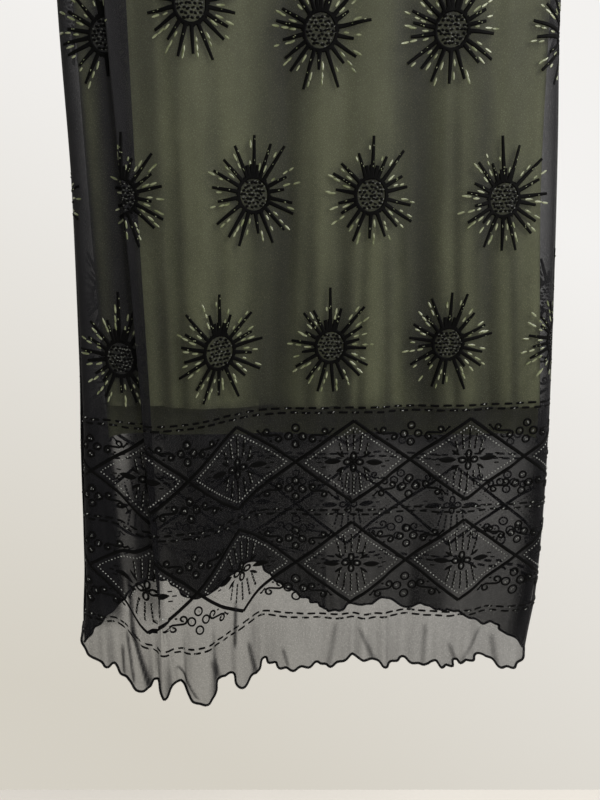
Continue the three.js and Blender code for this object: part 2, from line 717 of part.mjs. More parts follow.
const netFrontWall = clothWall(netFront, FRONT_STRETCHES, netRows, -1)
  .subtract(neckCutter(-1, NECK_DEPTH_FRONT, 0));
const netBackWall = clothWall(panel(NET_BACK_CUT), BACK_STRETCHES, netRows, 1)
  .subtract(neckCutter(1, NECK_DEPTH_BACK, 0));
const liningFrontWall = clothWall(panel(LINING_FRONT_CUT), LINING_STRETCHES, liningRows(LINING_HEM_FRONT), -1)
  .subtract(neckCutter(-1, NECK_DEPTH_FRONT, LINING_INSET));
const liningBackWall = clothWall(panel(LINING_BACK_CUT), LINING_STRETCHES, liningRows(LINING_HEM_BACK), 1)
  .subtract(neckCutter(1, NECK_DEPTH_BACK, LINING_INSET));

const NET = { color: 0x1c1c1d, roughness: 0.85, metalness: 0 };
const LINING = { color: 0x4a4e34, roughness: 0.7, metalness: 0 };
const BINDING = { color: 0x111112, roughness: 0.8, metalness: 0 };
const WOOD = { color: 0xb98d5c, roughness: 0.5, metalness: 0 };
const STEEL = { color: 0xb9bcc0, roughness: 0.3, metalness: 1 };

const pieces = [
  { name: 'net_front', solid: netFrontWall, finish: NET },
  { name: 'net_back', solid: netBackWall, finish: NET },
  { name: 'lining_front', solid: liningFrontWall, finish: LINING },
  { name: 'lining_back', solid: liningBackWall, finish: LINING },
  { name: 'neck_binding', solid: neckBinding(), finish: BINDING },
  { name: 'armhole_binding_left', solid: armholeBinding(-1), finish: BINDING },
  { name: 'armhole_binding_right', solid: armholeBinding(1), finish: BINDING },
  { name: 'hanger_arms', solid: hangerArms(), finish: WOOD },
  { name: 'hanger_hook', solid: hangerHook(), finish: STEEL },
];

const group = new THREE.Group();
for (const { name, solid, finish } of pieces) {
  const mesh = new THREE.Mesh(solidGeometry(solid), new THREE.MeshStandardMaterial(finish));
  mesh.name = name;
  group.add(mesh);
}

export default group;
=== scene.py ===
import math

import bpy
import numpy as np
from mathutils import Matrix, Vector


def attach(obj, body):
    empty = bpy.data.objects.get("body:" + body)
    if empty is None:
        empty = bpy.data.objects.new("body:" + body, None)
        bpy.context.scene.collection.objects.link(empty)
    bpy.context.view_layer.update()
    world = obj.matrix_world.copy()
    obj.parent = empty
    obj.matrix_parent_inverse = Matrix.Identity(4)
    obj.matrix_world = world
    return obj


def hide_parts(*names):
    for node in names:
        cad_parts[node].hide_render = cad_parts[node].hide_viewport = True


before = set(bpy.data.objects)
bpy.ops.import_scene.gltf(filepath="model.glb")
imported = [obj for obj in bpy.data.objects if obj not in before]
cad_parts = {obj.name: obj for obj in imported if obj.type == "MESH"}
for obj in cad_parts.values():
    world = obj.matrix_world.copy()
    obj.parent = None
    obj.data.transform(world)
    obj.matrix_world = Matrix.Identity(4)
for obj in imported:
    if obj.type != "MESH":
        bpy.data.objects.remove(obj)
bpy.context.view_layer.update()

# The dress in millimetres, front towards -Y; meshes are made in metres at the end.
MM = 0.001
DRESS_LENGTH = 1400
SHOULDER_DROP = 110
UNDERARM = 1180
NECK_HALF = 115
NECK_DEPTH_FRONT = 112
NECK_DEPTH_BACK = 38
SHOULDER_SLOPE = 0.357
SHOULDER_EASE = 25
NET_TO_LINING = 3.2
LINING_INSET = 3
LINING_HEM_FRONT = 313
LINING_HEM_BACK = 272
HEM_Z = -(SHOULDER_DROP + DRESS_LENGTH)
NET_ARCH = 10.6
LINING_ARCH = 9.0
ARCH_START = 0.85
LEFT_CORNER = 14
RIGHT_CORNER = 22
LINING_CORNER = 18
PLEAT_RADIUS = 2.0
PLEAT_OPEN_LEFT = 22
PLEAT_OPEN_RIGHT = 16
SIDE_MARGIN = 8
PLEAT_STEP = 4 * PLEAT_RADIUS
LINING_STEP_WIDTH = 28
FOLDS_FADE_FROM = 760
FOLDS_FADE_TO = 1150
BOW = 4
BOW_FADE = 120
SIDE_FADE = 26
UNROLL = 70
HEM_SWING_FADE = 130
HALF_GAP = 0.15

# How the cloth's rows droop below level over the deep fold, and over what heights
DROOP_FROM = 40
DROOP_SPAN = 272
DROOP_FADE = 210
HEM_BLEND_FRONT = 58
BACK_LIFT = 48
BACK_LIFT_FROM = 300
BACK_LIFT_SPAN = 800
HEM_BLEND_BACK = 110

# The fine ruffle of the rolled hem
RUFFLE_LENGTH = 17.0
RUFFLE_DEPTH = 2.1
RUFFLE_FADE = 11.0
RUFFLE_RISE = 0.22
RUFFLE_CALM = 200

BINDING_RADIUS = 2.0
BINDING_GAP = 0.8
NECK_LIFT = 0.8
UNDERARM_BEND = 2.6
BINDING_UPRIGHT_FROM = 1310
ARM_RADIUS = 7.6
ARM_DEPTH = 12
ARM_RINGS, ARM_SIDES = 81, 28
HANGER_HALF = 205
WIRE_RADIUS = 1.9
HOOK_RADIUS = 22
STEM_SINK = 10


def table(names, *rows):
    """Rows of numbers with named columns."""
    return {name: np.array(column, float) for name, column in zip(names.split(), zip(*rows))}


OUTLINE = table(
    "height left right depth",
    (-60, -267, 272, 24), (20, -267, 279, 24), (75, -259, 284, 23), (210, -251, 283, 22),
    (312, -244, 278, 21), (538, -235, 263, 20), (706, -234, 250, 20), (950, -228, 237, 20),
    (1060, -226, 226, 19.5), (1180, -235, 235, 20), (1400, -250, 250, 20),
)
LINING_OUTLINE = table(
    "height left right",
    (250, -218, 269), (312, -218, 268), (538, -219, 248), (706, -219, 241),
    (950, -216, 229), (1060, -217, 218), (1180, -232, 232), (1400, -247, 247),
)
ARMHOLE = table(
    "height reach",
    (1180, 235), (1192, 214), (1212, 198), (1245, 186), (1290, 179), (1340, 178), (1400, 184),
)
PLEAT = table(
    "height inner width closed",
    (-60, -160, 2, 0.1), (60, -162, 3, 0.35), (180, -164, 6, 0.9), (330, -164, 9, 1),
    (508, -165, 13, 1), (706, -164, 20, 1), (930, -162, 22, 1), (1040, -160, 14, 0.55),
    (1130, -158, 6, 0),
)
FRONT_HEM = table(
    "place rise swing",
    (-267, 24, 0), (-258, 10, 3), (-247, -1, -3), (-233, -7, 4), (-225, -8, -4), (-220, -22, -6),
    (-205, -27, 3), (-199, -37, 6), (-190, -40, 5), (-184, -36, 0), (-179, -31, -6), (-174, -33, -7),
    (-169, -46, 2), (-165, -50, 5), (-161, -47, 2), (-156, -37, -6), (-148, -33, -9), (-141, -37, -7),
    (-136, -45, 1), (-128, -50, 6), (-110, -50, 7), (-104, -43, 3), (-100, -28, -5), (-95, -22, -7),
    (-84, -18, -7), (-75, -26, 2), (-68, -29, 5), (-59, -24, 3), (-52, -14, -3), (-45, -3, -6),
    (-28, -5, 2), (-13, -9, 4), (2, -7, 1), (14, -5, -3), (22, -1, -4), (36, -2, 2), (48, 5, 3),
    (56, 4, 0), (63, 11, -4), (75, 6, 3), (88, 7, -3), (100, -2, 5), (106, -1, 3), (122, 2, -3),
    (137, -1, 2), (148, -4, 2), (156, 2, -2), (165, 0, 0), (175, -3, 2), (187, 3, -2),
    (199, 3, 3), (211, 6, -2), (226, 5, -3), (240, -5, 3), (256, -6, 5), (269, -2, 2), (279, 6, 0),
)
BACK_HEM = table(
    "place rise swing",
    (-267, 8, 0), (-231, 42, 5), (-200, 77, -5), (-169, 70, 6), (-140, 55, -5), (-112, 60, 5),
    (-86, 88, -4), (-58, 100, 5), (-34, 80, -5), (0, 53, 5), (26, 46, -4), (34, 36, 3),
    (48, 37, -3), (64, 41, 5), (90, 38, 3), (104, 52, -5), (117, 49, -2), (137, 35, 5), (152, 48, -2),
    (174, 42, -5), (201, 33, 2), (217, 23, 5), (234, 18, 0), (249, 21, -4), (257, 8, -2),
    (268, 5, 0), (279, 0, 0),
)
# How far the printed rows hang below their level across the front
DROOP = table(
    "place low high",
    (-264, -7, -14), (-250, -7, -15), (-208, -19, -18), (-190, -43, -21), (-172, -54, -22),
    (-156, -55, -23), (-121, -47, -19), (-92, -34, -13), (-72, -17, -8), (-45, -3, -4),
    (0, -2, -1), (100, 0, 1), (200, 3, 3), (260, 8, 5),
)
# Long soft folds: place across, lean for each metre up, half width and rise
FRONT_FOLDS = (
    (-106, -12, 30, 5), (-36, 8, 30, -4), (20, 4, 18, 2.5), (76, -18, 24, 4),
    (126, -20, 22, -3), (176, -10, 26, 4),
)
BACK_FOLDS = (
    (-170, 10, 24, 5), (-104, 14, 26, -5), (-40, 6, 22, 5), (28, -6, 28, -4),
    (96, -14, 22, 6), (160, -16, 24, -5),
)
# Folds of the thin lining alone, set back behind the net: place, lean, half width, depth and
# the height where each has died out
LINING_FOLDS_FRONT = (
    (-34, 44, 22, 13.0, 1050), (39, 6, 12, 12.0, 600), (133, -80, 17, 13.0, 980),
    (206, -108, 12, 8.0, 900), (-88, 10, 9, 3.2, 760), (92, -40, 6, 4.0, 700),
    (168, -60, 6, 4.0, 760), (6, 10, 8, 4.5, 640), (-128, 8, 7, 3.6, 860), (62, 12, 5, 2.6, 620),
    (-150, 4, 8, 5.0, 520), (232, -100, 6, 3.5, 700),
)
LINING_FOLDS_BACK = (
    (-150, 30, 20, 8.0, 980), (-62, 14, 16, 7.0, 900), (44, -20, 20, 9.0, 1040),
    (132, -60, 16, 7.5, 860), (196, -90, 14, 6.5, 800), (-8, 6, 9, 3.2, 700),
)
# Small folds of the net alone
NET_FOLDS_FRONT = (
    (-72, 20, 9, 1.5), (-8, -14, 7, -1.2), (48, 24, 8, 1.4), (102, -10, 7, -1.3),
    (150, -34, 8, 1.5), (204, -60, 9, -1.6), (228, -80, 8, 1.5), (-134, 6, 7, -1.2),
)
NET_FOLDS_BACK = (
    (-206, 20, 10, -1.8), (-136, 10, 9, 1.6), (-72, -8, 8, -1.4), (-4, 12, 9, 1.5),
    (62, -16, 8, -1.5), (128, -30, 9, 1.6), (192, -60, 9, -1.6),
)

# Layers of net across the front and the back, over the lining and below it: partly real net that lies
# together in folds, partly painted shade where the cloth lies in shadow
FRONT_LAYERS_AND_SHADE = table(
    "place below above top",
    (-272, 3.0, 4.2, 2.6), (-236, 3.4, 4.6, 2.6), (-218, 3.4, 2.4, 1.2), (-209, 1.3, 1.4, 0.9),
    (-198, 1.2, 1.9, 1.5), (-188, 1.3, 2.6, 2.9), (-178, 1.5, 1.7, 1.4), (-166, 1, 1, 1),
    (240, 1, 1, 1), (262, 1, 1, 1), (284, 1.5, 1.2, 1.2),
)
# Below the lining the back's extra layers are partly close folds and partly painted shadow, the shade behind
# the dress
BACK_LAYERS_AND_SHADOW = table(
    "place above below",
    (-272, 1.7, 2.8), (-227, 1.7, 3.2), (-220, 1.2, 1.1), (-206, 1.2, 1.1), (-198, 1.2, 2.8),
    (-188, 1.2, 2.8), (-177, 1.2, 3.0),
    (-130, 1.2, 3.8), (-60, 1.2, 3.6), (0, 1.2, 3.3), (27, 1.2, 3.1), (38, 1.2, 2.2), (120, 1.2, 2.2),
    (150, 1.2, 2.7), (175, 1.2, 2.6), (185, 1.2, 1.9), (230, 1.2, 1.6), (262, 1.2, 2.0), (284, 1.2, 2.8),
)
# Soft patches of the front darkened with extra layers, partly more net that gathers there and partly painted
# shade, as in the band between the two lining hems: place across, height above the hem's level, half width,
# half height and layers
GATHERS_AND_SHADE = (
    (40, 292, 190, 20, 0.9), (-196, 160, 14, 66, 0.9), (-170, 150, 9, 90, 0.9), (-225, 180, 12, 60, 0.8),
    (-80, 170, 44, 60, 0.3), (60, 240, 16, 30, 0.4), (-206, 90, 7, 22, -0.3), (-178, 640, 6, 300, 0.5),
)
# Share of a lining fold's depth that darkens the net over it as extra layers: painted shade in the fold, with
# some net that gathers over it
FOLD_PAINTED_SHADE = 0.055
# Sharp creases above the front hem: foot and head, each as place across and height above the hem's level,
# then half width and how many layers the crease adds, partly doubled net and partly painted shade in the
# crease
CREASES = (
    (-214, -16, -214, 17, 1.6, 1.6), (-201, -19, -206, 36, 1.6, 1.8), (-184, -30, -199, 42, 1.9, 3.0),
    (-199, 42, -201, 110, 2.0, 2.2), (-77, 30, -75, 78, 1.8, 1.8), (-54, -14, -61, 26, 1.8, 1.6),
    (-126, -40, -148, -12, 2.0, 1.5), (90, 2, 71, 46, 2.6, 0.9), (35, 6, 42, 54, 3.0, 0.5),
    (-15, -2, -20, 18, 2.0, 1.0), (147, -2, 148, 50, 2.9, 0.6), (187, 2, 176, 28, 2.2, 0.9),
    (194, 6, 212, 42, 2.8, 0.6), (-97, -24, -104, 6, 2.4, 1.0), (236, -2, 228, 34, 3.0, 0.5),
)
CREASE_DEPTH = 1.5

# Stretches across a panel: where each ends and its number of columns
FRONT_STRETCHES = (
    (0.05, 16), (0.12, 34), (0.17, 22), (0.2, 4), (0.25, 22), (0.94, 330), (1.0, 16),
)
BACK_STRETCHES = ((0.06, 14), (0.94, 310), (1.0, 14))
LINING_STRETCHES = ((0.06, 10), (0.94, 200), (1.0, 10))


def lerp(a, b, t):
    return a + (b - a) * t


def clamp(t):
    return np.clip(t, 0.0, 1.0)


def smooth(t):
    t = clamp(t)
    return t * t * (3 - 2 * t)


def read(rows, key, column, place):
    """Value of a table's column between its rows, on a smooth curve."""
    keys, values = rows[key], rows[column]
    last = len(keys) - 1
    order = np.arange(last + 1)
    before, after = np.maximum(order - 1, 0), np.minimum(order + 1, last)
    slopes = (values[after] - values[before]) / (keys[after] - keys[before])
    at = np.clip(place, keys[0], keys[-1])
    i = np.clip(np.searchsorted(keys, at) - 1, 0, last - 1)
    span = keys[i + 1] - keys[i]
    t = (at - keys[i]) / span
    curve = t * t * (3 - 2 * t) * (values[i + 1] - values[i])
    start = t * (1 - t) ** 2 * slopes[i] * span
    return values[i] + curve + start - t * t * (1 - t) * slopes[i + 1] * span


def shoulder_line(x):
    outwards = np.hypot(x, SHOULDER_EASE) - math.hypot(NECK_HALF, SHOULDER_EASE)
    return -SHOULDER_DROP - SHOULDER_SLOPE * outwards


def arch_centre(x):
    return shoulder_line(x) - NET_ARCH


def side_edge(outline, inset, side, height):
    """Side of a panel at a height: the seam below the underarm, the armhole above it."""
    reach = read(ARMHOLE, "height", "reach", height) - inset
    armhole = -reach if side == "left" else reach
    return np.where(height <= UNDERARM, read(outline, "height", side, height), armhole)


def edges(outline, inset, height):
    return [side_edge(outline, inset, side, height) for side in ("left", "right")]


def bodice_share(height):
    return clamp((height - UNDERARM) / (DRESS_LENGTH - UNDERARM))


def arch_angle(height):
    return clamp((bodice_share(height) - ARCH_START) / (1 - ARCH_START)) * math.pi / 2


def face_depth(height, arch, inset):
    full = read(OUTLINE, "height", "depth", np.minimum(height, UNDERARM)) - inset
    return lerp(full, arch, smooth(bodice_share(height) / ARCH_START)) * np.cos(arch_angle(height))


def round_side(width, t, height):
    """How far in from the side a point of the rounded side lies, and its share of the depth."""
    unrolled = smooth((height - UNDERARM) / UNROLL)
    angle = t * math.pi / 2
    return width * lerp(1 - np.cos(angle), t, unrolled), lerp(np.sin(angle), 1, unrolled)


def sides_fade(x, height):
    left, right = edges(OUTLINE, 0, height)
    from_left = smooth((x - left - LEFT_CORNER) / SIDE_FADE)
    return from_left * smooth((right - RIGHT_CORNER - x) / SIDE_FADE)


def ridge(x, height, place, lean, spread_out):
    """A long fold across the panel, leaning as it rises: one on its crest."""
    centre = place + lean * (height - LINING_HEM_FRONT) / 1000
    return np.exp(-(((x - centre) / spread_out) ** 2))


def relief(folds, fine, x, height):
    """Rise of the long folds, the panel's own small ones and its bow."""
    left, right = edges(OUTLINE, 0, height)
    across = (x - (left + right) / 2) / ((right - left) / 2)
    fade = 1 - smooth((height - FOLDS_FADE_FROM) / (FOLDS_FADE_TO - FOLDS_FADE_FROM))
    top_fade = 1 - smooth((height - UNDERARM) / BOW_FADE)
    rise = BOW * np.maximum(0, 1 - across * across) * top_fade
    for *line, size in (*folds, *fine):
        rise = rise + size * ridge(x, height, *line) * fade
    return rise * sides_fade(x, height)


def lining_troughs(folds, x, height):
    """Depth of the lining's own folds."""
    depth = 0.0
    start = LINING_HEM_FRONT + 40
    for *line, size, top in folds:
        fade = 1 - smooth((height - start) / (top - start))
        depth = depth + size * ridge(x, height, *line) * fade
    return depth * sides_fade(x, height)


def hem_swing(hem, x, height):
    left, right = edges(OUTLINE, 0, height)
    sides = smooth((x - left) / SIDE_FADE) * smooth((right - x) / SIDE_FADE)
    return read(hem, "place", "swing", x) * (1 - smooth(height / HEM_SWING_FADE)) * sides


def level(sag, x, height, arch):
    """Real height of a point; sag gives the skirt's rows their droop and the hem its waves."""
    skirt = HEM_Z + height + (sag(x, height) if sag else 0)
    bottom = HEM_Z + UNDERARM
    centre = arch_centre(x)
    rising = lerp(bottom, centre, bodice_share(height) / ARCH_START)
    curved = centre + arch * np.sin(arch_angle(height))
    bodice = np.where(bodice_share(height) < ARCH_START, rising, curved)
    return np.where(height <= UNDERARM, skirt, bodice)


def front_sag(x, height):
    low, high = (read(DROOP, "place", column, x) for column in ("low", "high"))
    rise = read(FRONT_HEM, "place", "rise", x)
    body = lerp(low, high, smooth((height - DROOP_FROM) / DROOP_SPAN))
    body = body * (1 - smooth((height - DROOP_FROM - DROOP_SPAN) / DROOP_FADE))
    return body + (rise - low) * (1 - smooth(height / HEM_BLEND_FRONT))


def back_sag(x, height):
    rise = read(BACK_HEM, "place", "rise", x)
    body = BACK_LIFT * (1 - smooth((height - BACK_LIFT_FROM) / BACK_LIFT_SPAN))
    return body + (rise - BACK_LIFT) * (1 - smooth(height / HEM_BLEND_BACK))


def locate(stretches, u):
    """Stretch of a panel and the share of it at a place between its two sides."""
    ends = np.array([stretch[0] for stretch in stretches])
    starts = np.concatenate([[0.0], ends[:-1]])
    i = np.clip(np.searchsorted(ends, u - 1e-9), 0, len(ends) - 1)
    return i, clamp((u - starts[i]) / (ends[i] - starts[i]))


def net_front(u, height):
    """Front net at a place across and a height, with the deep fold down its left side."""
    u, height = np.broadcast_arrays(np.asarray(u, float), np.asarray(height, float))
    i, t = locate(FRONT_STRETCHES, u)
    left, right = edges(OUTLINE, 0, height)
    closed = clamp(read(PLEAT, "height", "closed", height))
    inner = read(PLEAT, "height", "inner", height)
    outer = inner - read(PLEAT, "height", "width", height)
    face = -face_depth(height, NET_ARCH, 0)
    rear = face + PLEAT_STEP * closed
    open_left = np.maximum(inner - PLEAT_OPEN_LEFT, left + LEFT_CORNER + SIDE_MARGIN)
    root_left = lerp(open_left, inner - PLEAT_RADIUS, closed)
    root_right = lerp(inner + PLEAT_OPEN_RIGHT, outer + PLEAT_RADIUS, closed)
    r = PLEAT_RADIUS
    turn = math.pi * t
    folds = (
        (0.0, 0.4, inner - r + r * np.sin(turn), rear - r + r * np.cos(turn)),
        (0.4, 0.6, lerp(inner - r, outer + r, t), rear - 2 * r),
        (0.6, 1.0, outer + r - r * np.sin(turn), rear - 3 * r + r * np.cos(turn)),
    )
    left_in, left_share = round_side(LEFT_CORNER, t, height)
    right_in, right_share = round_side(RIGHT_CORNER, 1 - t, height)
    xs = [left + left_in, lerp(left + LEFT_CORNER, root_left, t)]
    ys = [rear * left_share, rear + 0 * t]
    for start, end, fold_x, fold_y in folds:
        share = lerp(start, end, t)
        xs.append(lerp(lerp(root_left, root_right, share), fold_x, closed))
        ys.append(lerp(lerp(rear, face, share), fold_y, closed))
    xs += [lerp(root_right, right - RIGHT_CORNER, t), right - right_in]
    ys += [face + 0 * t, face * right_share]
    x, y = np.choose(i, xs), np.choose(i, ys)
    y = y - relief(FRONT_FOLDS, NET_FOLDS_FRONT, x, height) - hem_swing(FRONT_HEM, x, height)
    z = level(front_sag, x, height, NET_ARCH)
    return np.stack([x, np.minimum(y, -HALF_GAP), z], axis=-1)


def plain_panel(cut, u, height):
    """A panel with no deep fold at a place across and a height."""
    u, height = np.broadcast_arrays(np.asarray(u, float), np.asarray(height, float))
    i, t = locate(cut["stretches"], u)
    left, right = edges(cut["outline"], cut["inset"], height)
    corner = cut["corner"]
    left_in, left_share = round_side(corner, t, height)
    right_in, right_share = round_side(corner, 1 - t, height)
    x = np.choose(i, [left + left_in, lerp(left + corner, right - corner, t), right - right_in])
    share = np.choose(i, [left_share, 1 + 0 * t, right_share])
    depth = face_depth(height, cut["arch"], cut["behind"]) * share
    depth = depth + relief(cut["folds"], cut["fine"], x, height)
    if cut["hem"]:
        depth = depth + hem_swing(cut["hem"], x, height)
    if cut["steps"]:
        closed = clamp(read(PLEAT, "height", "closed", height))
        inner = read(PLEAT, "height", "inner", height)
        beside = smooth((x - inner - PLEAT_RADIUS) / LINING_STEP_WIDTH)
        depth = depth - PLEAT_STEP * closed * (1 - beside) * share
    if cut["troughs"]:
        depth = depth - lining_troughs(cut["troughs"], x, height)
    z = level(cut["sag"], x, height, cut["arch"])
    return np.stack([x, cut["side"] * np.maximum(depth, HALF_GAP), z], axis=-1)


NET_BACK_CUT = dict(
    stretches=BACK_STRETCHES, outline=OUTLINE, inset=0, arch=NET_ARCH, behind=0,
    corner=RIGHT_CORNER, folds=BACK_FOLDS, fine=NET_FOLDS_BACK, hem=BACK_HEM, sag=back_sag,
    steps=False, troughs=(), side=1,
)
LINING_FRONT_CUT = dict(
    stretches=LINING_STRETCHES, outline=LINING_OUTLINE, inset=LINING_INSET, arch=LINING_ARCH,
    behind=NET_TO_LINING, corner=LINING_CORNER, folds=FRONT_FOLDS, fine=(), hem=None, sag=None,
    steps=True, troughs=LINING_FOLDS_FRONT, side=-1,
)
LINING_BACK_CUT = dict(
    LINING_FRONT_CUT, folds=BACK_FOLDS, steps=False, troughs=LINING_FOLDS_BACK, side=1,
)


def net_back(u, height):
    return plain_panel(NET_BACK_CUT, u, height)


def lining_front(u, height):
    return plain_panel(LINING_FRONT_CUT, u, height)


def lining_back(u, height):
    return plain_panel(LINING_BACK_CUT, u, height)


def outward(point, side, u, height):
    """Unit vectors out of the cloth, away from the inside of the dress."""
    du, dh = 2e-4, 0.2
    across = point(np.minimum(u + du, 1), height) - point(np.maximum(u - du, 0), height)
    up = point(u, np.minimum(height + dh, DRESS_LENGTH)) - point(u, height - dh)
    normal = -side * np.cross(across, up)
    return normal / np.maximum(np.linalg.norm(normal, axis=-1, keepdims=True), 1e-9)


def neck_edge(x, depth, inset):
    """Height of the neck's cut edge, and far above the shoulders outside the neck."""
    half = NECK_HALF + inset
    fall = (depth + inset) * np.sqrt(np.maximum(0, 1 - (x / half) ** 2))
    return np.where(np.abs(x) < half, -SHOULDER_DROP - fall, 1000.0)


def column_tops(point, u, depth, inset):
    """Height where each column of a panel ends, at the neck or at the shoulder."""
    low = np.full(u.shape, float(UNDERARM))
    high = np.full(u.shape, float(DRESS_LENGTH))
    for _ in range(24):
        middle = (low + high) / 2
        places = point(u, middle)
        inside = places[..., 2] < neck_edge(places[..., 0], depth, inset)
        low, high = np.where(inside, middle, low), np.where(inside, high, middle)
    return high


def piece_from(name, points, faces, smooth_faces=True):
    """Mesh object from points in millimetres."""
    mesh = bpy.data.meshes.new(name)
    mesh.from_pydata((np.asarray(points, float) * MM).tolist(), [], [tuple(f) for f in faces])
    mesh.update()
    if smooth_faces:
        mesh.shade_smooth()
    piece = bpy.data.objects.new(name, mesh)
    bpy.context.scene.collection.objects.link(piece)
    return piece


def grid_faces(columns, rows, flip):
    k, i = np.meshgrid(np.arange(rows - 1), np.arange(columns - 1), indexing="ij")
    a = (k * columns + i).ravel()
    quads = np.stack([a, a + 1, a + columns + 1, a + columns], axis=1)
    return quads[:, ::-1] if flip else quads


def columns_of(stretches):
    places, start = [0.0], 0.0
    for end, count in stretches:
        places += [lerp(start, end, k / count) for k in range(1, count + 1)]
        start = end
    return np.array(places)


def arc_length(points):
    """Distance along each row of points, seen from above."""
    steps = np.linalg.norm(np.diff(points[..., :2], axis=-2), axis=-1)
    return np.concatenate([np.zeros(steps.shape[:-1] + (1,)), np.cumsum(steps, axis=-1)], axis=-1)


def ruffle(arc, height, turn):
    """Uneven small waves of the rolled hem: out of the cloth, and along it."""
    phase = 2 * math.pi * arc / RUFFLE_LENGTH + 1.9 * np.sin(arc / 29 + turn)
    phase = phase + 1.2 * np.sin(arc / 12.3 + 2 * turn)
    size = RUFFLE_DEPTH * (1 + 0.55 * np.sin(arc / 41 + 3 * turn)) * np.exp(-height / RUFFLE_FADE)
    if turn < 1:
        size = size * lerp(0.35, 1.0, smooth((arc - RUFFLE_CALM) / 60))
    return size * np.sin(phase), RUFFLE_RISE * size * np.cos(phase + 0.6)


def crease(points):
    """Strength of the sharp creases above the front hem, and the extra net that they add, partly doubled net
    and partly painted shade in the crease.
    """
    x, z = points[..., 0], points[..., 2] - HEM_Z
    strength, layers_and_shade = np.zeros(x.shape), np.zeros(x.shape)
    for foot_x, foot_z, head_x, head_z, half_width, gathered_and_shade in CREASES:
        along = (z - foot_z) / (head_z - foot_z)
        across = (x - lerp(foot_x, head_x, along)) / half_width
        here = np.exp(-across * across) * smooth(4 * along + 1) * smooth(4 * (1 - along) + 0.5)
        strength = strength + here
        layers_and_shade = layers_and_shade + gathered_and_shade * here
    return np.minimum(strength, 1), layers_and_shade


def front_layers_and_shade(points):
    """Layers of net at each point of the front, counting painted shade too: in its recess, between the two
    lining hems, over the lining's folds and in its creases.
    """
    x, z = points[..., 0], points[..., 2] - HEM_Z
    below, above, top = (read(FRONT_LAYERS_AND_SHADE, "place", column, x) for column in ("below", "above", "top"))
    layers_and_shade = lerp(below, lerp(above, top, smooth((z - 470) / 260)), smooth((z - 310) / 60))
    for place, height, half_wide, half_tall, more in GATHERS_AND_SHADE:
        inside = smooth(1.5 - np.abs(x - place) / half_wide) * smooth(1.5 - np.abs(z - height) / half_tall)
        layers_and_shade = layers_and_shade + more * inside
    # Painted shade in the lining's folds, laid on the net over them as extra layers
    folds = np.where(z > 316, lining_troughs(LINING_FOLDS_FRONT, x, z), 0)
    return lerp(1.0, layers_and_shade + FOLD_PAINTED_SHADE * folds, smooth((z - 38) / 40)) + crease(points)[1]


def back_layers_and_shadow(points):
    """Layers of net at each point of the back, which hangs in close folds below the lining; there they also
    stand for painted shadow, the shade that falls behind the dress.
    """
    x, z = points[..., 0], points[..., 2] - HEM_Z
    above, below = (read(BACK_LAYERS_AND_SHADOW, "place", column, x) for column in ("above", "below"))
    return lerp(below, above, smooth((z - 285) / 40))


def cloth(name, point, side, stretches, rows, neck_depth, inset, turn=None, layers_and_shade=None):
    """Thin shell of one panel from its hem to its shoulder, open at the neck."""
    u = columns_of(stretches)
    rows = np.asarray(rows, float)
    tops = column_tops(point, u, neck_depth, inset)
    share = clamp((rows - UNDERARM) / (DRESS_LENGTH - UNDERARM))[:, None]
    heights = np.where(rows[:, None] > UNDERARM, UNDERARM + share * (tops - UNDERARM), rows[:, None])
    across = np.broadcast_to(u, heights.shape)
    points = point(across, heights)
    normals = outward(point, side, across, heights)
    if turn is not None:
        arc = arc_length(points[:1])[0]
        out, along = ruffle(arc, heights, turn)
        ends = smooth(np.minimum(arc, arc[-1] - arc) / 20)
        points = points + normals * (out * ends)[..., None]
        points[..., 2] += along * ends
    if layers_and_shade is front_layers_and_shade:
        points = points + normals * (crease(points)[0] * CREASE_DEPTH)[..., None]
    faces = grid_faces(len(u), len(rows), flip=side > 0)
    piece = piece_from(name, points.reshape(-1, 3), faces)
    # A net that turns away from the front holds more threads before what lies behind it; the layers that
    # multiply this also carry painted shade
    density_and_shade = 1 / np.maximum(np.abs(normals[..., 1]), 0.35)
    if layers_and_shade:
        density_and_shade = density_and_shade * layers_and_shade(points)
    layers_and_painted_shade = piece.data.attributes.new("layers_and_painted_shade", "FLOAT", "POINT")
    layers_and_painted_shade.data.foreach_set("value", density_and_shade.ravel().astype(np.float32))
    return piece, points


def rows_between(*stretches):
    """Row heights from stretches of start, end and step."""
    rows = []
    for start, end, step in stretches:
        count = max(1, round((end - start) / step))
        rows += [lerp(start, end, k / count) for k in range(count)]
    return rows + [stretches[-1][1]]


NET_ROWS = rows_between((0, 12, 1.5), (12, 60, 3), (60, 320, 6), (320, 1180, 12), (1180, 1367, 6),
                        (1367, 1400, 3))
LINING_FRONT_ROWS = rows_between((LINING_HEM_FRONT, 1180, 12), (1180, 1367, 8), (1367, 1400, 3))
LINING_BACK_ROWS = rows_between((LINING_HEM_BACK, 1180, 12), (1180, 1367, 8), (1367, 1400, 3))


LAYOUT_STEP = 4.0


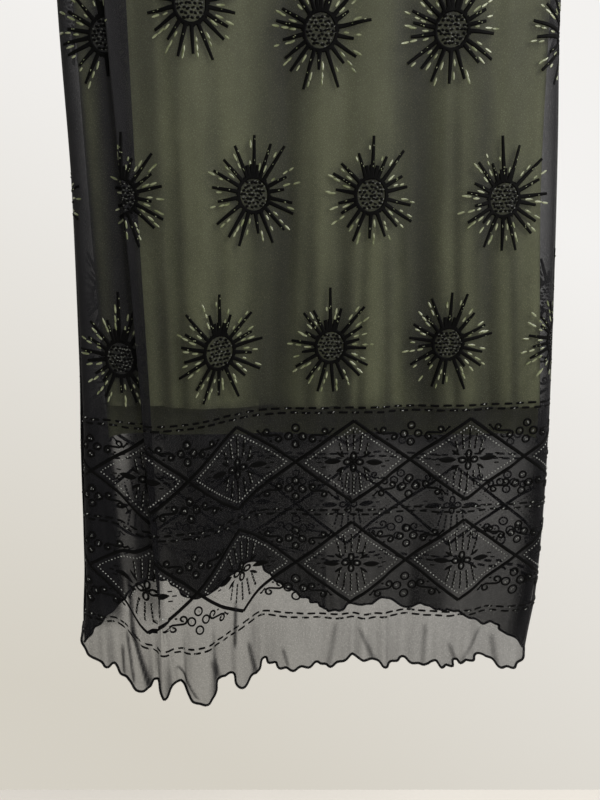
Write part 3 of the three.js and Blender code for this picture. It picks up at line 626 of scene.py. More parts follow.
class Layout:
    """Finds the place on a panel of a mark given by its distance along the cloth from the
    dress's middle and its height."""

    def __init__(self, point, side, stretches, neck_depth):
        self.point, self.side, self.neck_depth = point, side, neck_depth
        self.heights = np.arange(0, DRESS_LENGTH + 1, LAYOUT_STEP)
        self.u = columns_of([(end, count * 2) for end, count in stretches])
        points = point(*np.broadcast_arrays(self.u, self.heights[:, None]))
        arcs = arc_length(points)
        main = self.u >= (0.25 if len(stretches) > 3 else 0.0)
        self.arcs = np.empty_like(arcs)
        for k, row in enumerate(points):
            middle = np.interp(0, row[main, 0], arcs[k][main])
            self.arcs[k] = arcs[k] - middle

    def place(self, across, height):
        """Places u of marks and whether each lies on the panel."""
        k = np.clip((height / LAYOUT_STEP).astype(int), 0, len(self.heights) - 2)
        share = (height - self.heights[k]) / LAYOUT_STEP
        u = np.empty_like(across)
        inside = np.zeros(across.shape, bool)
        for row in np.unique(k):
            here = k == row
            low = np.interp(across[here], self.arcs[row], self.u)
            high = np.interp(across[here], self.arcs[row + 1], self.u)
            u[here] = lerp(low, high, share[here])
            start = max(self.arcs[row][0], self.arcs[row + 1][0]) + 1
            end = min(self.arcs[row][-1], self.arcs[row + 1][-1]) - 1
            inside[here] = (across[here] > start) & (across[here] < end)
        return u, inside & (height > 0) & (height < DRESS_LENGTH - 3)

    def raise_marks(self, name, ink, drawn_in=False):
        """Mesh of all marks of one ink, lifted off the cloth."""
        marks = np.concatenate(ink.points)
        faces = np.concatenate(ink.faces)
        across, height, lift = marks.T
        if drawn_in:
            low, high = (read(DRAWN_IN, "place", column, across) for column in ("low", "high"))
            across = across + lerp(low, high, smooth((height - 110) / 150))
        u, inside = self.place(across, height)
        points = self.point(u, height)
        neck = neck_edge(points[:, 0], self.neck_depth, 0)
        inside &= points[:, 2] < neck - 1
        points = points + outward(self.point, self.side, u, height) * lift[:, None]
        faces = faces[inside[faces].all(axis=1)]
        kept = np.unique(faces)
        renumbered = np.zeros(len(points), int)
        renumbered[kept] = np.arange(len(kept))
        if self.side > 0:
            faces = faces[:, ::-1]
        return piece_from(name, points[kept], renumbered[faces], smooth_faces=False)


class Ink:
    """Raised marks in the plane of the cloth: along it, up it and off it, in triangles."""

    def __init__(self):
        self.points, self.faces, self.count = [], [], 0

    def add(self, points, faces):
        self.points.append(np.asarray(points, float))
        self.faces.append(np.asarray(faces, int) + self.count)
        self.count += len(points)

    def stroke(self, path, widths, height, base=0.25):
        """Raised line with a ridged back, along a path, with its width at each point."""
        path = np.asarray(path, float)
        widths = np.broadcast_to(np.asarray(widths, float), (len(path),))
        along = np.gradient(path, axis=0)
        along /= np.maximum(np.linalg.norm(along, axis=1, keepdims=True), 1e-9)
        across = np.stack([-along[:, 1], along[:, 0]], axis=1) * widths[:, None] / 2
        n = len(path)
        rings = np.empty((n, 4, 3))
        for k, (sideways, lift) in enumerate(((1, base), (0.45, height), (-0.45, height), (-1, base))):
            rings[:, k, :2] = path + across * sideways
            rings[:, k, 2] = lift
        faces = []
        for i in range(n - 1):
            a, b = 4 * i, 4 * i + 4
            for k in range(4):
                m = (k + 1) % 4
                faces += [(a + k, b + k, b + m), (a + k, b + m, a + m)]
        e = 4 * n - 4
        faces += [(0, 1, 2), (0, 2, 3), (e, e + 2, e + 1), (e, e + 3, e + 2)]
        self.add(rings.reshape(-1, 3), faces)

    def line(self, start, end, widths, height, step=6.0, base=0.25):
        start, end = np.asarray(start, float), np.asarray(end, float)
        count = max(2, int(np.linalg.norm(end - start) / step) + 2)
        t = np.linspace(0, 1, count)[:, None]
        wide = np.interp(t[:, 0], np.linspace(0, 1, np.size(widths)), np.atleast_1d(widths))
        self.stroke(start + (end - start) * t, wide, height, base)

    def loop(self, centre, half_across, half_up, width, height, steps=20):
        turn = np.linspace(0, 2 * math.pi, steps + 1)
        path = np.stack([centre[0] + half_across * np.cos(turn), centre[1] + half_up * np.sin(turn)], 1)
        self.stroke(path, width, height)

    def dot(self, centre, half_long, half_wide, angle, height, sides=8, base=0.25):
        """Small oval bump."""
        turn = np.arange(sides) * 2 * math.pi / sides
        c, s = math.cos(angle), math.sin(angle)
        rings = []
        for share, lift in ((1.0, base), (0.6, height)):
            a, b = share * half_long * np.cos(turn), share * half_wide * np.sin(turn)
            rings.append(np.stack([centre[0] + a * c - b * s, centre[1] + a * s + b * c,
                                   np.full(sides, lift)], axis=1))
        points = np.concatenate([*rings, [[centre[0], centre[1], height * 1.15]]])
        faces = []
        for k in range(sides):
            m = (k + 1) % sides
            faces += [(k, m, sides + m), (k, sides + m, sides + k), (sides + k, sides + m, 2 * sides)]
        faces += [(0, k + 1, k) for k in range(1, sides - 1)]
        self.add(points, faces)


def polar(centre, radius, angle):
    return centre[0] + radius * math.cos(angle), centre[1] + radius * math.sin(angle)


# Sunburst motif
RAYS = 18
RAY_ROOT = 16.5
RAY_REACH = 43
RAY_LEAST = 31
RAY_WIDTHS = (4.2, 3.9, 3.3, 2.7)
# Bands of light dashes beside the rays: from, to and how often
DASH_BANDS = ((20, 26, 0.7), (30, 35, 0.85), (37, 42, 0.55))
TUFTS = 26
RING_HALF = (15.4, 17.0)
RING_WIDTH = 3.7
FLECK_STEP = (4.2, 3.8)
FLECK_MARGIN = 2.6
PRINT_HEIGHT = 0.95
GLINT_HEIGHT = 1.25


def sunburst(ink, glints, silver, centre, draw):
    """Uneven rays round an oval ring full of small flecks, with light dashes between them."""
    turn = draw.uniform(-0.05, 0.05)
    for k in range(RAYS):
        angle = math.pi / 2 + turn + 2 * math.pi * k / RAYS + draw.uniform(-0.07, 0.07)
        rise = math.sin(angle)
        reach = RAY_REACH + 7.5 * rise * rise + (8 * rise ** 5 if rise > 0 else 0)
        reach += draw.uniform(-6, 5) - (4.5 if k % 2 else 0) - (9 if draw.random() < 0.22 else 0)
        reach = max(reach, RAY_LEAST)
        lean = draw.uniform(-0.03, 0.03)
        start, end = polar(centre, RAY_ROOT, angle), polar(centre, reach, angle + lean)
        ink.line(start, end, RAY_WIDTHS, PRINT_HEIGHT)
        # Pale dots on the black rays, more on the upper rays, are painted highlights of the glossy print
        upper = rise > 0.25
        for _ in range(draw.integers(2, 5) if upper else draw.integers(0, 3)):
            at = draw.uniform(24, reach - 3)
            place = polar(centre, at, angle + lean * 0.6 + draw.uniform(-0.03, 0.03))
            glints.dot(place, draw.uniform(0.6, 1.4), 0.55, angle, GLINT_HEIGHT, sides=6, base=0.5)
        for start, end, chance in DASH_BANDS:
            if draw.random() < chance:
                at = draw.uniform(start, end) + 3 * abs(rise)
                dash(glints, centre, angle + lean + draw.uniform(3.0, 4.0) / at, at, draw.uniform(4, 8))
    for lean in (-0.2, 0.02, 0.18):
        angle = math.pi / 2 + turn + lean
        start, end = polar(centre, RAY_ROOT, angle), polar(centre, 29 - 3 * abs(lean), angle)
        ink.line(start, end, (5.2, 3.8), PRINT_HEIGHT)
    ink.loop(centre, *RING_HALF, RING_WIDTH, PRINT_HEIGHT, steps=28)
    step_across, step_up = FLECK_STEP
    for row in range(-4, 5):
        for column in range(-4, 5):
            across = (column + 0.5 * (row % 2)) * step_across + draw.uniform(-0.9, 0.9)
            up = row * step_up + draw.uniform(-0.8, 0.8)
            if math.hypot(across / (RING_HALF[0] - FLECK_MARGIN), up / (RING_HALF[1] - FLECK_MARGIN)) > 1:
                continue
            place = (centre[0] + across, centre[1] + up)
            long, wide, lean = draw.uniform(1.8, 2.4), draw.uniform(1.2, 1.6), draw.uniform(-0.6, 0.5)
            ink.dot(place, long, wide, lean, 0.8, sides=6)
            beside = (place[0] + draw.uniform(1.6, 2.6), place[1] + draw.uniform(-1.8, 1.8))
            silver.dot(beside, draw.uniform(0.8, 1.4), 0.6, draw.uniform(-0.6, 0.6), 0.6, sides=5)
            if draw.random() < 0.3:
                beside = (place[0] - draw.uniform(0.5, 2.2), place[1] + draw.uniform(1.4, 2.4))
                silver.dot(beside, draw.uniform(0.8, 1.5), 0.6, draw.uniform(-0.4, 0.4), 0.6, sides=5)
    for k in range(TUFTS):
        angle = 2 * math.pi * k / TUFTS + draw.uniform(-0.1, 0.1)
        tuft = np.array(centre) + 1.1 * np.array(RING_HALF) * (math.cos(angle), math.sin(angle))
        ink.dot(tuft, draw.uniform(1.2, 2.0), 1.0, draw.uniform(0, 3), 0.9, sides=5)


def dash(glints, centre, angle, start, length):
    glints.line(polar(centre, start, angle), polar(centre, start + length, angle), (1.2, 2.1, 2.0, 1.1),
                0.55, step=3.0)


# Where the border of the front is drawn in sideways by the small folds at its left
DRAWN_IN = table(
    "place low high",
    (-420, 3, 3), (-260, 4, 4), (-197, 6, 5), (-133, 13, 8), (-69, 1, -1), (-20, 0, 0), (420, 0, 0),
)

# Border of diamonds between dashed rows
DASH_ROWS = (312.5, 195, 65)
DASH_REACH = 420
DASH_LENGTH = 8.8
DASH_PITCH = 13.4
DASH_WIDTH = 2.9
DASH_APART = 5.2
DIAMOND_PITCH = 128
DIAMOND_START = -68.8
DIAMONDS = ((207, 300.5), (82, 183))
DIAMOND_LINE = 3.9
BEADS_INSIDE = 6.0
BEAD_STEP = 0.058
FLOWER_DASH_STEP = 4.6
# Ring clusters: height, which way up, and size
CLUSTERS = ((283, 1, 0.95), (223, -1, 0.95), (162, 1, 0.95), (101, -1, 1.12))


def dashed_row(ink, glints, height, reach, draw):
    """Two lines of short dashes, half a step apart."""
    for line, shift in ((0.5, 0.0), (-0.5, 0.5)):
        for k in range(int(-reach / DASH_PITCH), int(reach / DASH_PITCH) + 1):
            middle = (k + shift) * DASH_PITCH + draw.uniform(-0.3, 0.3)
            up = height + line * DASH_APART + draw.uniform(-0.3, 0.3)
            half = DASH_LENGTH / 2 * draw.uniform(0.88, 1.08)
            ink.line((middle - half, up), (middle + half, up), (DASH_WIDTH * 0.8, DASH_WIDTH,
                     DASH_WIDTH * 0.8), PRINT_HEIGHT, step=4.0)
            if draw.random() < 0.42:
                spot = (middle + draw.uniform(-3, 3), up + draw.uniform(-0.6, 0.6))
                glints.dot(spot, draw.uniform(1.1, 1.8), 0.7, draw.uniform(0.2, 0.9), GLINT_HEIGHT, sides=6,
                           base=0.5)


def diamond(ink, glints, centre, low, high, draw):
    """Diamond with a line of beads inside it and a small flower with leaves in its middle."""
    half_wide, half_tall = DIAMOND_PITCH / 2, (high - low) / 2
    corners = [(half_wide, 0), (0, half_tall), (-half_wide, 0), (0, -half_tall)]
    steepness = math.hypot(half_wide, half_tall)
    inset = BEADS_INSIDE * steepness / half_wide / half_tall
    for k in range(4):
        start, end = np.array(corners[k]), np.array(corners[(k + 1) % 4])
        ink.line(centre + start, centre + end, DIAMOND_LINE, PRINT_HEIGHT, step=5.0)
        inner_start, inner_end = start * (1 - inset), end * (1 - inset)
        for t in np.arange(0.02, 0.99, BEAD_STEP):
            place = centre + lerp(inner_start, inner_end, t) + draw.uniform(-0.25, 0.25, 2)
            glints.dot(place, 1.0, 0.8, draw.uniform(0, 3), 0.75, sides=6)
    for k in range(4):
        angle = math.pi / 2 * k
        petal = np.array(polar(centre, 6.8, angle))
        wide, tall = (3.8, 3.1) if k % 2 == 0 else (2.9, 4.4)
        ink.loop(petal, wide, tall, 2.6, PRINT_HEIGHT, steps=14)
        glints.dot(petal, 1.0, 0.8, angle, 0.7, sides=6)
    ink.dot(centre, 2.6, 2.6, 0, 1.0)
    for side in (-1, 1):
        for column in range(-2, 3):
            for k in range(5):
                up = 15.5 + FLOWER_DASH_STEP * k + 1.2 * (column % 2)
                if up > half_tall * (1 - abs(column) * 0.11) - 9:
                    break
                place = centre + (column * (4.6 + 0.12 * up), side * (up - 2.4 * abs(column)))
                slant = 0.12 * column * side
                ink.line(place - (slant, 1.8), place + (slant, 1.8), 2.4, 0.8, step=4.0)
                if draw.random() < 0.75:
                    spot = place + (0.9, 0.5)
                    glints.line(spot - (slant, 1.1), spot + (slant, 1.1), 0.85, 0.95, step=3.0, base=0.5)
        leaf(ink, centre + (side * 23, draw.uniform(-1, 1)), draw.uniform(-0.1, 0.1), 9.5, 3.3)
        for tilt in (-1, 1):
            stroke_at = centre + (side * 14.5, 8.5 * tilt)
            leaf(ink, stroke_at, side * tilt * 0.6, 5.4, 1.7)
        for reach, tilt in ((37.5, 0), (33, 0.28), (33, -0.28)):
            place = centre + (side * reach, reach * tilt * 0.6)
            ink.line(place - (2.4, 0), place + (2.4, 0), 1.6, 0.8, step=3.0)


def leaf(ink, centre, angle, half_long, half_wide):
    """Solid pointed leaf."""
    t = np.linspace(-1, 1, 9)
    path = np.stack([centre[0] + half_long * t * math.cos(angle),
                     centre[1] + half_long * t * math.sin(angle)], axis=1)
    ink.stroke(path, 2 * half_wide * (1 - t * t) ** 0.8 + 0.3, PRINT_HEIGHT)


def cluster(ink, glints, centre, up, size, draw):
    """Four rings set as a diamond, with a double scroll on either side."""
    for across, rise in ((0, 10.2), (0, -9.4), (-8.2, 0.4), (8.2, 0.4)):
        ring = size * draw.uniform(4.0, 4.6)
        place = centre + (size * across, size * up * rise)
        ink.loop(place, ring, ring, 2.2, PRINT_HEIGHT, steps=16)
        for _ in range(3):
            spot = place + draw.uniform(-1.5, 1.5, 2)
            glints.dot(spot, 0.9, 0.6, draw.uniform(0, 3), 0.7, sides=5)
    for side in (-1, 1):
        double_scroll(ink, centre + (side * 19.5, up * -2.5), side, -up, 4.9 * size, 12.0)
        ink.line(centre + (side * 36, up * 3.0), centre + (side * 41, up * 8.5), (2.4, 1.4), PRINT_HEIGHT)
        ink.dot(centre + (side * 41, up * 8.5), 1.9, 1.5, 0, 0.9, sides=6)
        ink.dot(centre + (side * 27, up * -4.5), 1.7, 1.3, 0, 0.9, sides=6)
        glints.dot(centre + (side * 19.5, up * -2.5), 1.0, 0.7, 0, 1.1, sides=5)
        glints.dot(centre + (side * 31.5, up * 6.0), 1.0, 0.7, 0, 1.1, sides=5)


def double_scroll(ink, centre, side, up, radius, sweep):
    """S-shaped scroll: a spiral that unwinds, crosses and winds up again lower and further out."""
    t = np.linspace(0, 1, 12)
    parts = []
    for turn, wind in ((-math.pi / 2 - 2.1 * math.pi * (1 - t), radius * (0.3 + 0.7 * t)),
                       (math.pi / 2 - 2.1 * math.pi * t, radius * 0.92 * (1 - 0.7 * t))):
        parts.append(np.stack([wind * np.cos(turn), wind * np.sin(turn)], axis=1))
    parts[1] += (sweep, -radius * 1.92)
    path = np.concatenate(parts) * (side, up) + centre
    widths = np.interp(np.linspace(0, 1, len(path)), (0, 0.08, 0.5, 0.92, 1), (3.2, 2.4, 2.7, 2.4, 3.2))
    ink.stroke(path, widths, PRINT_HEIGHT)


# Rows of sunbursts: height and where the first one from the middle stands
SUNBURST_PITCH = 125
SUNBURST_ROWS = ((383, 31.8), (533, 70.9), (681, 18.6), (831, 80), (981, 17), (1131, 79), (1281, 16))


def printed(prefix, layout, seed, shifts):
    """The whole print of one panel, the black marks and the bright ones. Shifts move single
    sunbursts, named by their row and count from the middle."""
    draw = np.random.default_rng(seed)
    suns, border, sun_glints, sun_silver, border_glints = Ink(), Ink(), Ink(), Ink(), Ink()
    for height, start in SUNBURST_ROWS:
        for k in range(-4, 4):
            across, up = shifts.get((height, k), (0, 0))
            centre = (start + k * SUNBURST_PITCH + across + draw.uniform(-2, 2),
                      height + up + draw.uniform(-2, 2))
            sunburst(suns, sun_glints, sun_silver, centre, draw)
    for height in DASH_ROWS:
        dashed_row(border, border_glints, height, DASH_REACH, draw)
    for k in range(-3, 4):
        across = DIAMOND_START + k * DIAMOND_PITCH
        for low, high in DIAMONDS:
            diamond(border, border_glints, np.array([across, (low + high) / 2]), low, high, draw)
        for height, up, size in CLUSTERS:
            middle = np.array([across + DIAMOND_PITCH / 2, float(height)])
            cluster(border, border_glints, middle, up, size, draw)
    made = []
    for name, ink, slot, finish in (
        ("suns", suns, "print", PRINT), ("border", border, "print", PRINT),
        ("sun_glints", sun_glints, "glint", GLINT), ("sun_silver", sun_silver, "glint", DULL_SILVER),
        ("border_glints", border_glints, "glint", SILVER),
    ):
        drawn_in = layout.side < 0 and name.startswith("border")
        piece = layout.raise_marks(f"{prefix}_{name}", ink, drawn_in)
        made.append(finished(piece, finish, slot))
    return made


def ring_faces(sides, rings, closed=False):
    """Quads between rings of points, with a cap at either end of an open run."""
    faces = []
    for i in range(rings if closed else rings - 1):
        a, b = i * sides, (i + 1) % rings * sides
        faces += [(a + k, a + (k + 1) % sides, b + (k + 1) % sides, b + k) for k in range(sides)]
    if not closed:
        faces += [tuple(range(sides))[::-1], tuple(range((rings - 1) * sides, rings * sides))]
    return faces


def tube(name, path, radius, sides=8, closed=False, ridge=0.0, ridge_pitch=1.7):
    """Round tube along a path, its radius swelling with each turn of thread."""
    path = np.asarray(path, float)
    n = len(path)
    if closed:
        along = np.roll(path, -1, axis=0) - np.roll(path, 1, axis=0)
    else:
        along = np.gradient(path, axis=0)
    along /= np.linalg.norm(along, axis=1, keepdims=True)
    first = np.cross(along[0], (0.0, 1.0, 0.0) if abs(along[0][1]) < 0.9 else (1.0, 0.0, 0.0))
    frames = [first / np.linalg.norm(first)]
    for i in range(1, n):
        step = frames[-1] - along[i] * np.dot(frames[-1], along[i])
        frames.append(step / np.linalg.norm(step))
    normal = np.array(frames)
    second = np.cross(along, normal)
    distance = np.concatenate([[0], np.cumsum(np.linalg.norm(np.diff(path, axis=0), axis=1))])
    turn = np.arange(sides) * 2 * math.pi / sides
    swell = 1 + ridge * np.sin(2 * math.pi * distance[:, None] / ridge_pitch + turn[None, :])
    rings = path[:, None] + radius * swell[..., None] * (
        np.cos(turn)[None, :, None] * normal[:, None] + np.sin(turn)[None, :, None] * second[:, None])
    return piece_from(name, rings.reshape(-1, 3), ring_faces(sides, n, closed))


def along_curve(points, step, closed):
    """Evenly spaced places on a smooth curve through the points."""
    points = np.asarray(points, float)
    n = len(points)
    fine = []
    for i in range(n if closed else n - 1):
        p = [points[(i + k) % n if closed else min(max(i + k, 0), n - 1)] for k in (-1, 0, 1, 2)]
        for t in np.linspace(0, 1, 12, endpoint=False):
            fine.append(0.5 * (2 * p[1] + (p[2] - p[0]) * t + (2 * p[0] - 5 * p[1] + 4 * p[2] - p[3]) * t * t
                               + (3 * p[1] - p[0] - 3 * p[2] + p[3]) * t ** 3))
    fine = np.array(fine + ([fine[0]] if closed else [points[-1]]))
    distance = np.concatenate([[0], np.cumsum(np.linalg.norm(np.diff(fine, axis=0), axis=1))])
    count = max(8, int(distance[-1] / step))
    places = np.linspace(0, distance[-1], count, endpoint=not closed)
    return np.stack([np.interp(places, distance, fine[:, c]) for c in range(3)], axis=1)


def neck_loop():
    """Path of the binding round the neck, just inside the cut edges."""
    offset = BINDING_RADIUS + BINDING_GAP
    half = NECK_HALF - offset
    arch = NET_ARCH + NECK_LIFT
    span = DRESS_LENGTH - UNDERARM
    bottom = HEM_Z + UNDERARM
    points = []
    for side, depth, first in ((-1, NECK_DEPTH_FRONT, 1), (1, NECK_DEPTH_BACK, 2)):
        for i in range(first, 23 - first):
            angle = math.pi * i / 22
            x = side * half * math.cos(angle)
            z = -SHOULDER_DROP - (depth - offset) * math.sin(angle)
            centre = arch_centre(x)
            if z <= centre:
                height = UNDERARM + span * ARCH_START * (z - bottom) / (centre - bottom)
            else:
                rise = math.asin(min(1, (z - centre) / NET_ARCH)) / (math.pi / 2)
                height = UNDERARM + span * lerp(ARCH_START, 1, rise)
            height = np.float64(height)
            face = face_depth(height, NET_ARCH, 0) + relief((), (), x, height)
            points.append((x, side * float(face), z))
        for degrees in (15, 52, 90, 128, 165):
            turn = math.radians(degrees)
            y = side * arch * math.cos(turn)
            z = arch_centre(half) + arch * math.sin(turn)
            fall = max(0, -SHOULDER_DROP - z) / ((NECK_DEPTH_FRONT if y < 0 else NECK_DEPTH_BACK) - offset)
            points.append((-side * half * math.sqrt(1 - fall * fall), y, z))
    return along_curve(points, 1.2, closed=True)


def armhole_loop(hand):
    """Path of the binding round one armhole; hand is -1 for the left of the picture."""
    offset = BINDING_RADIUS + BINDING_GAP
    u = 0.0 if hand < 0 else 1.0
    heights = (1187, 1197, 1212, 1235, 1265, 1305, 1367, 1378, 1389)

    def beside(point, height):
        here, along = point(u, height), point(u, height + 1) - point(u, height - 1)
        upright = height > BINDING_UPRIGHT_FROM
        out = np.array([hand, 0, 0] if upright else [hand * along[2], 0, -hand * along[0]], float)
        return here + out / np.linalg.norm(out) * offset

    def apart(here, side):
        return np.array([here[0], side * max(abs(here[1]), UNDERARM_BEND), here[2]])

    seam = beside(net_front, UNDERARM + 1) * (1, 0, 1)
    top = beside(net_front, DRESS_LENGTH - 2) * (1, 0, 1)
    front = [apart(beside(net_front, h), -1) for h in heights]
    back = [apart(beside(net_back, h), 1) for h in heights][::-1]
    upwards = (front[0] - seam) * (1, 0, 1)
    upwards /= np.linalg.norm(upwards)
    bend = []
    for degrees in (60, 0, -60):
        turn = math.radians(degrees)
        point = seam + upwards * UNDERARM_BEND * (1 - math.cos(turn))
        bend.append(point + (0, UNDERARM_BEND * math.sin(turn), 0))
    return along_curve([*bend, *front, top, *back], 1.2, closed=True)


def hanger_arms():
    """Smooth wooden arms with an oval section, along the line of the shoulders."""
    across = HANGER_HALF * np.sin(np.linspace(-math.pi / 2, math.pi / 2, ARM_RINGS))
    turn = np.arange(ARM_SIDES) * 2 * math.pi / ARM_SIDES
    middle = ARM_DEPTH / 2
    drop = np.where(np.sin(turn) > 0, 0, ARM_DEPTH)
    points = []
    for x in across:
        end = math.sqrt(max(0.0, 1 - max(0.0, (abs(x) - HANGER_HALF + ARM_RADIUS) / ARM_RADIUS) ** 2))
        end = max(end, 0.02)
        for k in range(ARM_SIDES):
            y = end * ARM_RADIUS * math.cos(turn[k])
            z = ARM_RADIUS * math.sin(turn[k]) - drop[k] + middle
            points.append((x, y, arch_centre(x) - middle + end * z))
    return piece_from("hanger_arms_wood", points, ring_faces(ARM_SIDES, ARM_RINGS))


def hanger_hook():
    """Bent wire hook, its tip rounded."""
    centre = WIRE_RADIUS - HOOK_RADIUS
    bottom = arch_centre(0) + ARM_RADIUS - STEM_SINK + 0.3
    points = [(0, 0, bottom + rise) for rise in (0, 8, 16, 24)]
    for degrees in range(-48, 205, 28):
        angle = math.radians(degrees)
        points.append((HOOK_RADIUS * math.cos(angle), 0, centre + HOOK_RADIUS * math.sin(angle)))
    return tube("hanger_hook_wire", along_curve(points, 1.5, closed=False), WIRE_RADIUS, sides=16)


def hanger_collar():
    """Small turned ferrule where the hook's stem enters the wood."""
    base = arch_centre(0) + ARM_RADIUS
    profile = ((1.95, 2.6), (3.4, 2.5), (4.1, 1.6), (4.2, 0.6), (4.9, 0.2), (5.0, -0.6), (1.95, -0.6))
    points = [(*polar((0, 0), radius, 2 * math.pi * k / ARM_SIDES), base + up)
              for radius, up in profile for k in range(ARM_SIDES)]
    faces = [(quad[0], *quad[:0:-1]) for quad in ring_faces(ARM_SIDES, len(profile), closed=True)]
    return piece_from("hanger_collar", points, faces)


def new_material(name, **sockets):
    """Principled material with uniform values on its own sockets, and its node tree."""
    material = bpy.data.materials.new(name)
    material.use_nodes = True
    shader = material.node_tree.nodes["Principled BSDF"]
    for socket, value in sockets.items():
        shader.inputs[socket.replace("_", " ")].default_value = value
    return material, material.node_tree, shader


def node(tree, kind, **values):
    made = tree.nodes.new(kind)
    for key, value in values.items():
        if key.startswith("in_"):
            made.inputs[key[3:].replace("_", " ")].default_value = value
        else:
            setattr(made, key, value)
    return made


def scaled(tree, scale):
    """Object coordinates stretched along each axis."""
    place = node(tree, "ShaderNodeTexCoord")
    mapping = node(tree, "ShaderNodeMapping")
    mapping.inputs["Scale"].default_value = scale
    tree.links.new(place.outputs["Object"], mapping.inputs["Vector"])
    return mapping.outputs["Vector"]


def axes(tree, coordinates):
    """X, Y and Z of the given texture coordinates."""
    place, parts = node(tree, "ShaderNodeTexCoord"), node(tree, "ShaderNodeSeparateXYZ")
    tree.links.new(place.outputs[coordinates], parts.inputs[0])
    return parts.outputs


def noise(tree, scale, detail=2.0, stretch=(1, 1, 1)):
    texture = node(tree, "ShaderNodeTexNoise", in_Scale=scale, in_Detail=detail)
    tree.links.new(scaled(tree, stretch), texture.inputs["Vector"])
    return texture.outputs["Fac"]


def ramp(tree, value, low, high, low_colour, high_colour):
    """Colour that runs from one to another as the value does."""
    made = node(tree, "ShaderNodeValToRGB")
    made.color_ramp.elements[0].position, made.color_ramp.elements[1].position = low, high
    made.color_ramp.elements[0].color = (*low_colour, 1)
    made.color_ramp.elements[1].color = (*high_colour, 1)
    tree.links.new(value, made.inputs["Fac"])
    return made.outputs["Color"]


def spread(tree, value, low, high, out_low, out_high):
    made = node(tree, "ShaderNodeMapRange")
    for socket, number in zip(("From Min", "From Max", "To Min", "To Max"), (low, high, out_low, out_high)):
        made.inputs[socket].default_value = number
    tree.links.new(value, made.inputs["Value"])
    return made.outputs["Result"]


def combine(tree, operation, first, second):
    made = node(tree, "ShaderNodeMath", operation=operation)
    for socket, value in zip(made.inputs, (first, second)):
        if isinstance(value, (int, float)):
            socket.default_value = value
        else:
            tree.links.new(value, socket)
    return made.outputs[0]


def blended(tree, first, second, share):
    """Sum of two values, the second with the given share."""
    kept = combine(tree, "MULTIPLY", first, 1 - share)
    return combine(tree, "ADD", kept, combine(tree, "MULTIPLY", second, share))


def bump(tree, shader, value, distance, strength=1.0):
    made = node(tree, "ShaderNodeBump", in_Distance=distance, in_Strength=strength)
    tree.links.new(value, made.inputs["Height"])
    tree.links.new(made.outputs["Normal"], shader.inputs["Normal"])


def weave(tree, pitch):
    """Fine crossing threads in the plane of the front and back."""
    threads = []
    for direction in ("X", "Z"):
        wave = node(tree, "ShaderNodeTexWave", bands_direction=direction, in_Scale=0.314 / pitch,
                    in_Distortion=1.5, in_Detail=1.0)
        tree.links.new(scaled(tree, (1, 1, 1)), wave.inputs["Vector"])
        threads.append(wave.outputs["Fac"])
    return combine(tree, "MAXIMUM", *threads)


NET_OPACITY = 0.58
# The two outer lining colours are painted light, lighter than the lining's own olive, and the darker one also
# paints shade in streaks; the inner colour is the lining's own
LINING_OUTSIDE_PAINTED_LIGHT = (0.46, 0.49, 0.285)
LINING_OUTSIDE_PAINTED_LIGHT_AND_SHADE = (0.33, 0.355, 0.195)
LINING_INSIDE = (0.15, 0.165, 0.09)


def net_material():
    """Sheer black knitted net, denser where it turns away and where painted shade is added, and a little
    lighter higher up: painted light and sheen where the upper net catches more light.
    """
    material, tree, shader = new_material(
        "black_net", Roughness=0.85, Sheen_Weight=0.03, Sheen_Roughness=0.5, Specular_IOR_Level=0.06)
    # Painted light and sheen: the net's colour is lighter higher up, where the upper net catches more light
    painted_light_higher_up = spread(tree, axes(tree, "Object")["Z"], -1.3, -0.85, 0.1, 0.9)
    uneven = spread(tree, noise(tree, 120, 2.0, (1, 1, 0.25)), 0.3, 0.7, -0.1, 0.1)
    shade = combine(tree, "ADD", painted_light_higher_up, uneven)
    tree.links.new(ramp(tree, shade, 0, 1, (0.004, 0.004, 0.005), (0.024, 0.024, 0.026)),
                   shader.inputs["Base Color"])
    cells = node(tree, "ShaderNodeTexVoronoi", in_Scale=620, feature="DISTANCE_TO_EDGE")
    tree.links.new(scaled(tree, (1, 0.4, 0.8)), cells.inputs["Vector"])
    threads = spread(tree, cells.outputs["Distance"], 0.05, 0.4, 0.09, -0.07)
    patches = spread(tree, noise(tree, 34, 3.0, (1, 1, 0.3)), 0.3, 0.7, -0.035, 0.035)
    single = combine(tree, "ADD", combine(tree, "ADD", threads, patches), NET_OPACITY)
    # The net's opacity follows its layers, which carry painted shade as well as real net
    layers_and_painted_shade = node(tree, "ShaderNodeAttribute", attribute_name="layers_and_painted_shade")
    clear = combine(tree, "SUBTRACT", 1.0, single)
    through = combine(tree, "POWER", clear, layers_and_painted_shade.outputs["Fac"])
    tree.links.new(combine(tree, "SUBTRACT", 1.0, through), shader.inputs["Alpha"])
    bump(tree, shader, cells.outputs["Distance"], 0.0003, 0.5)
    return material


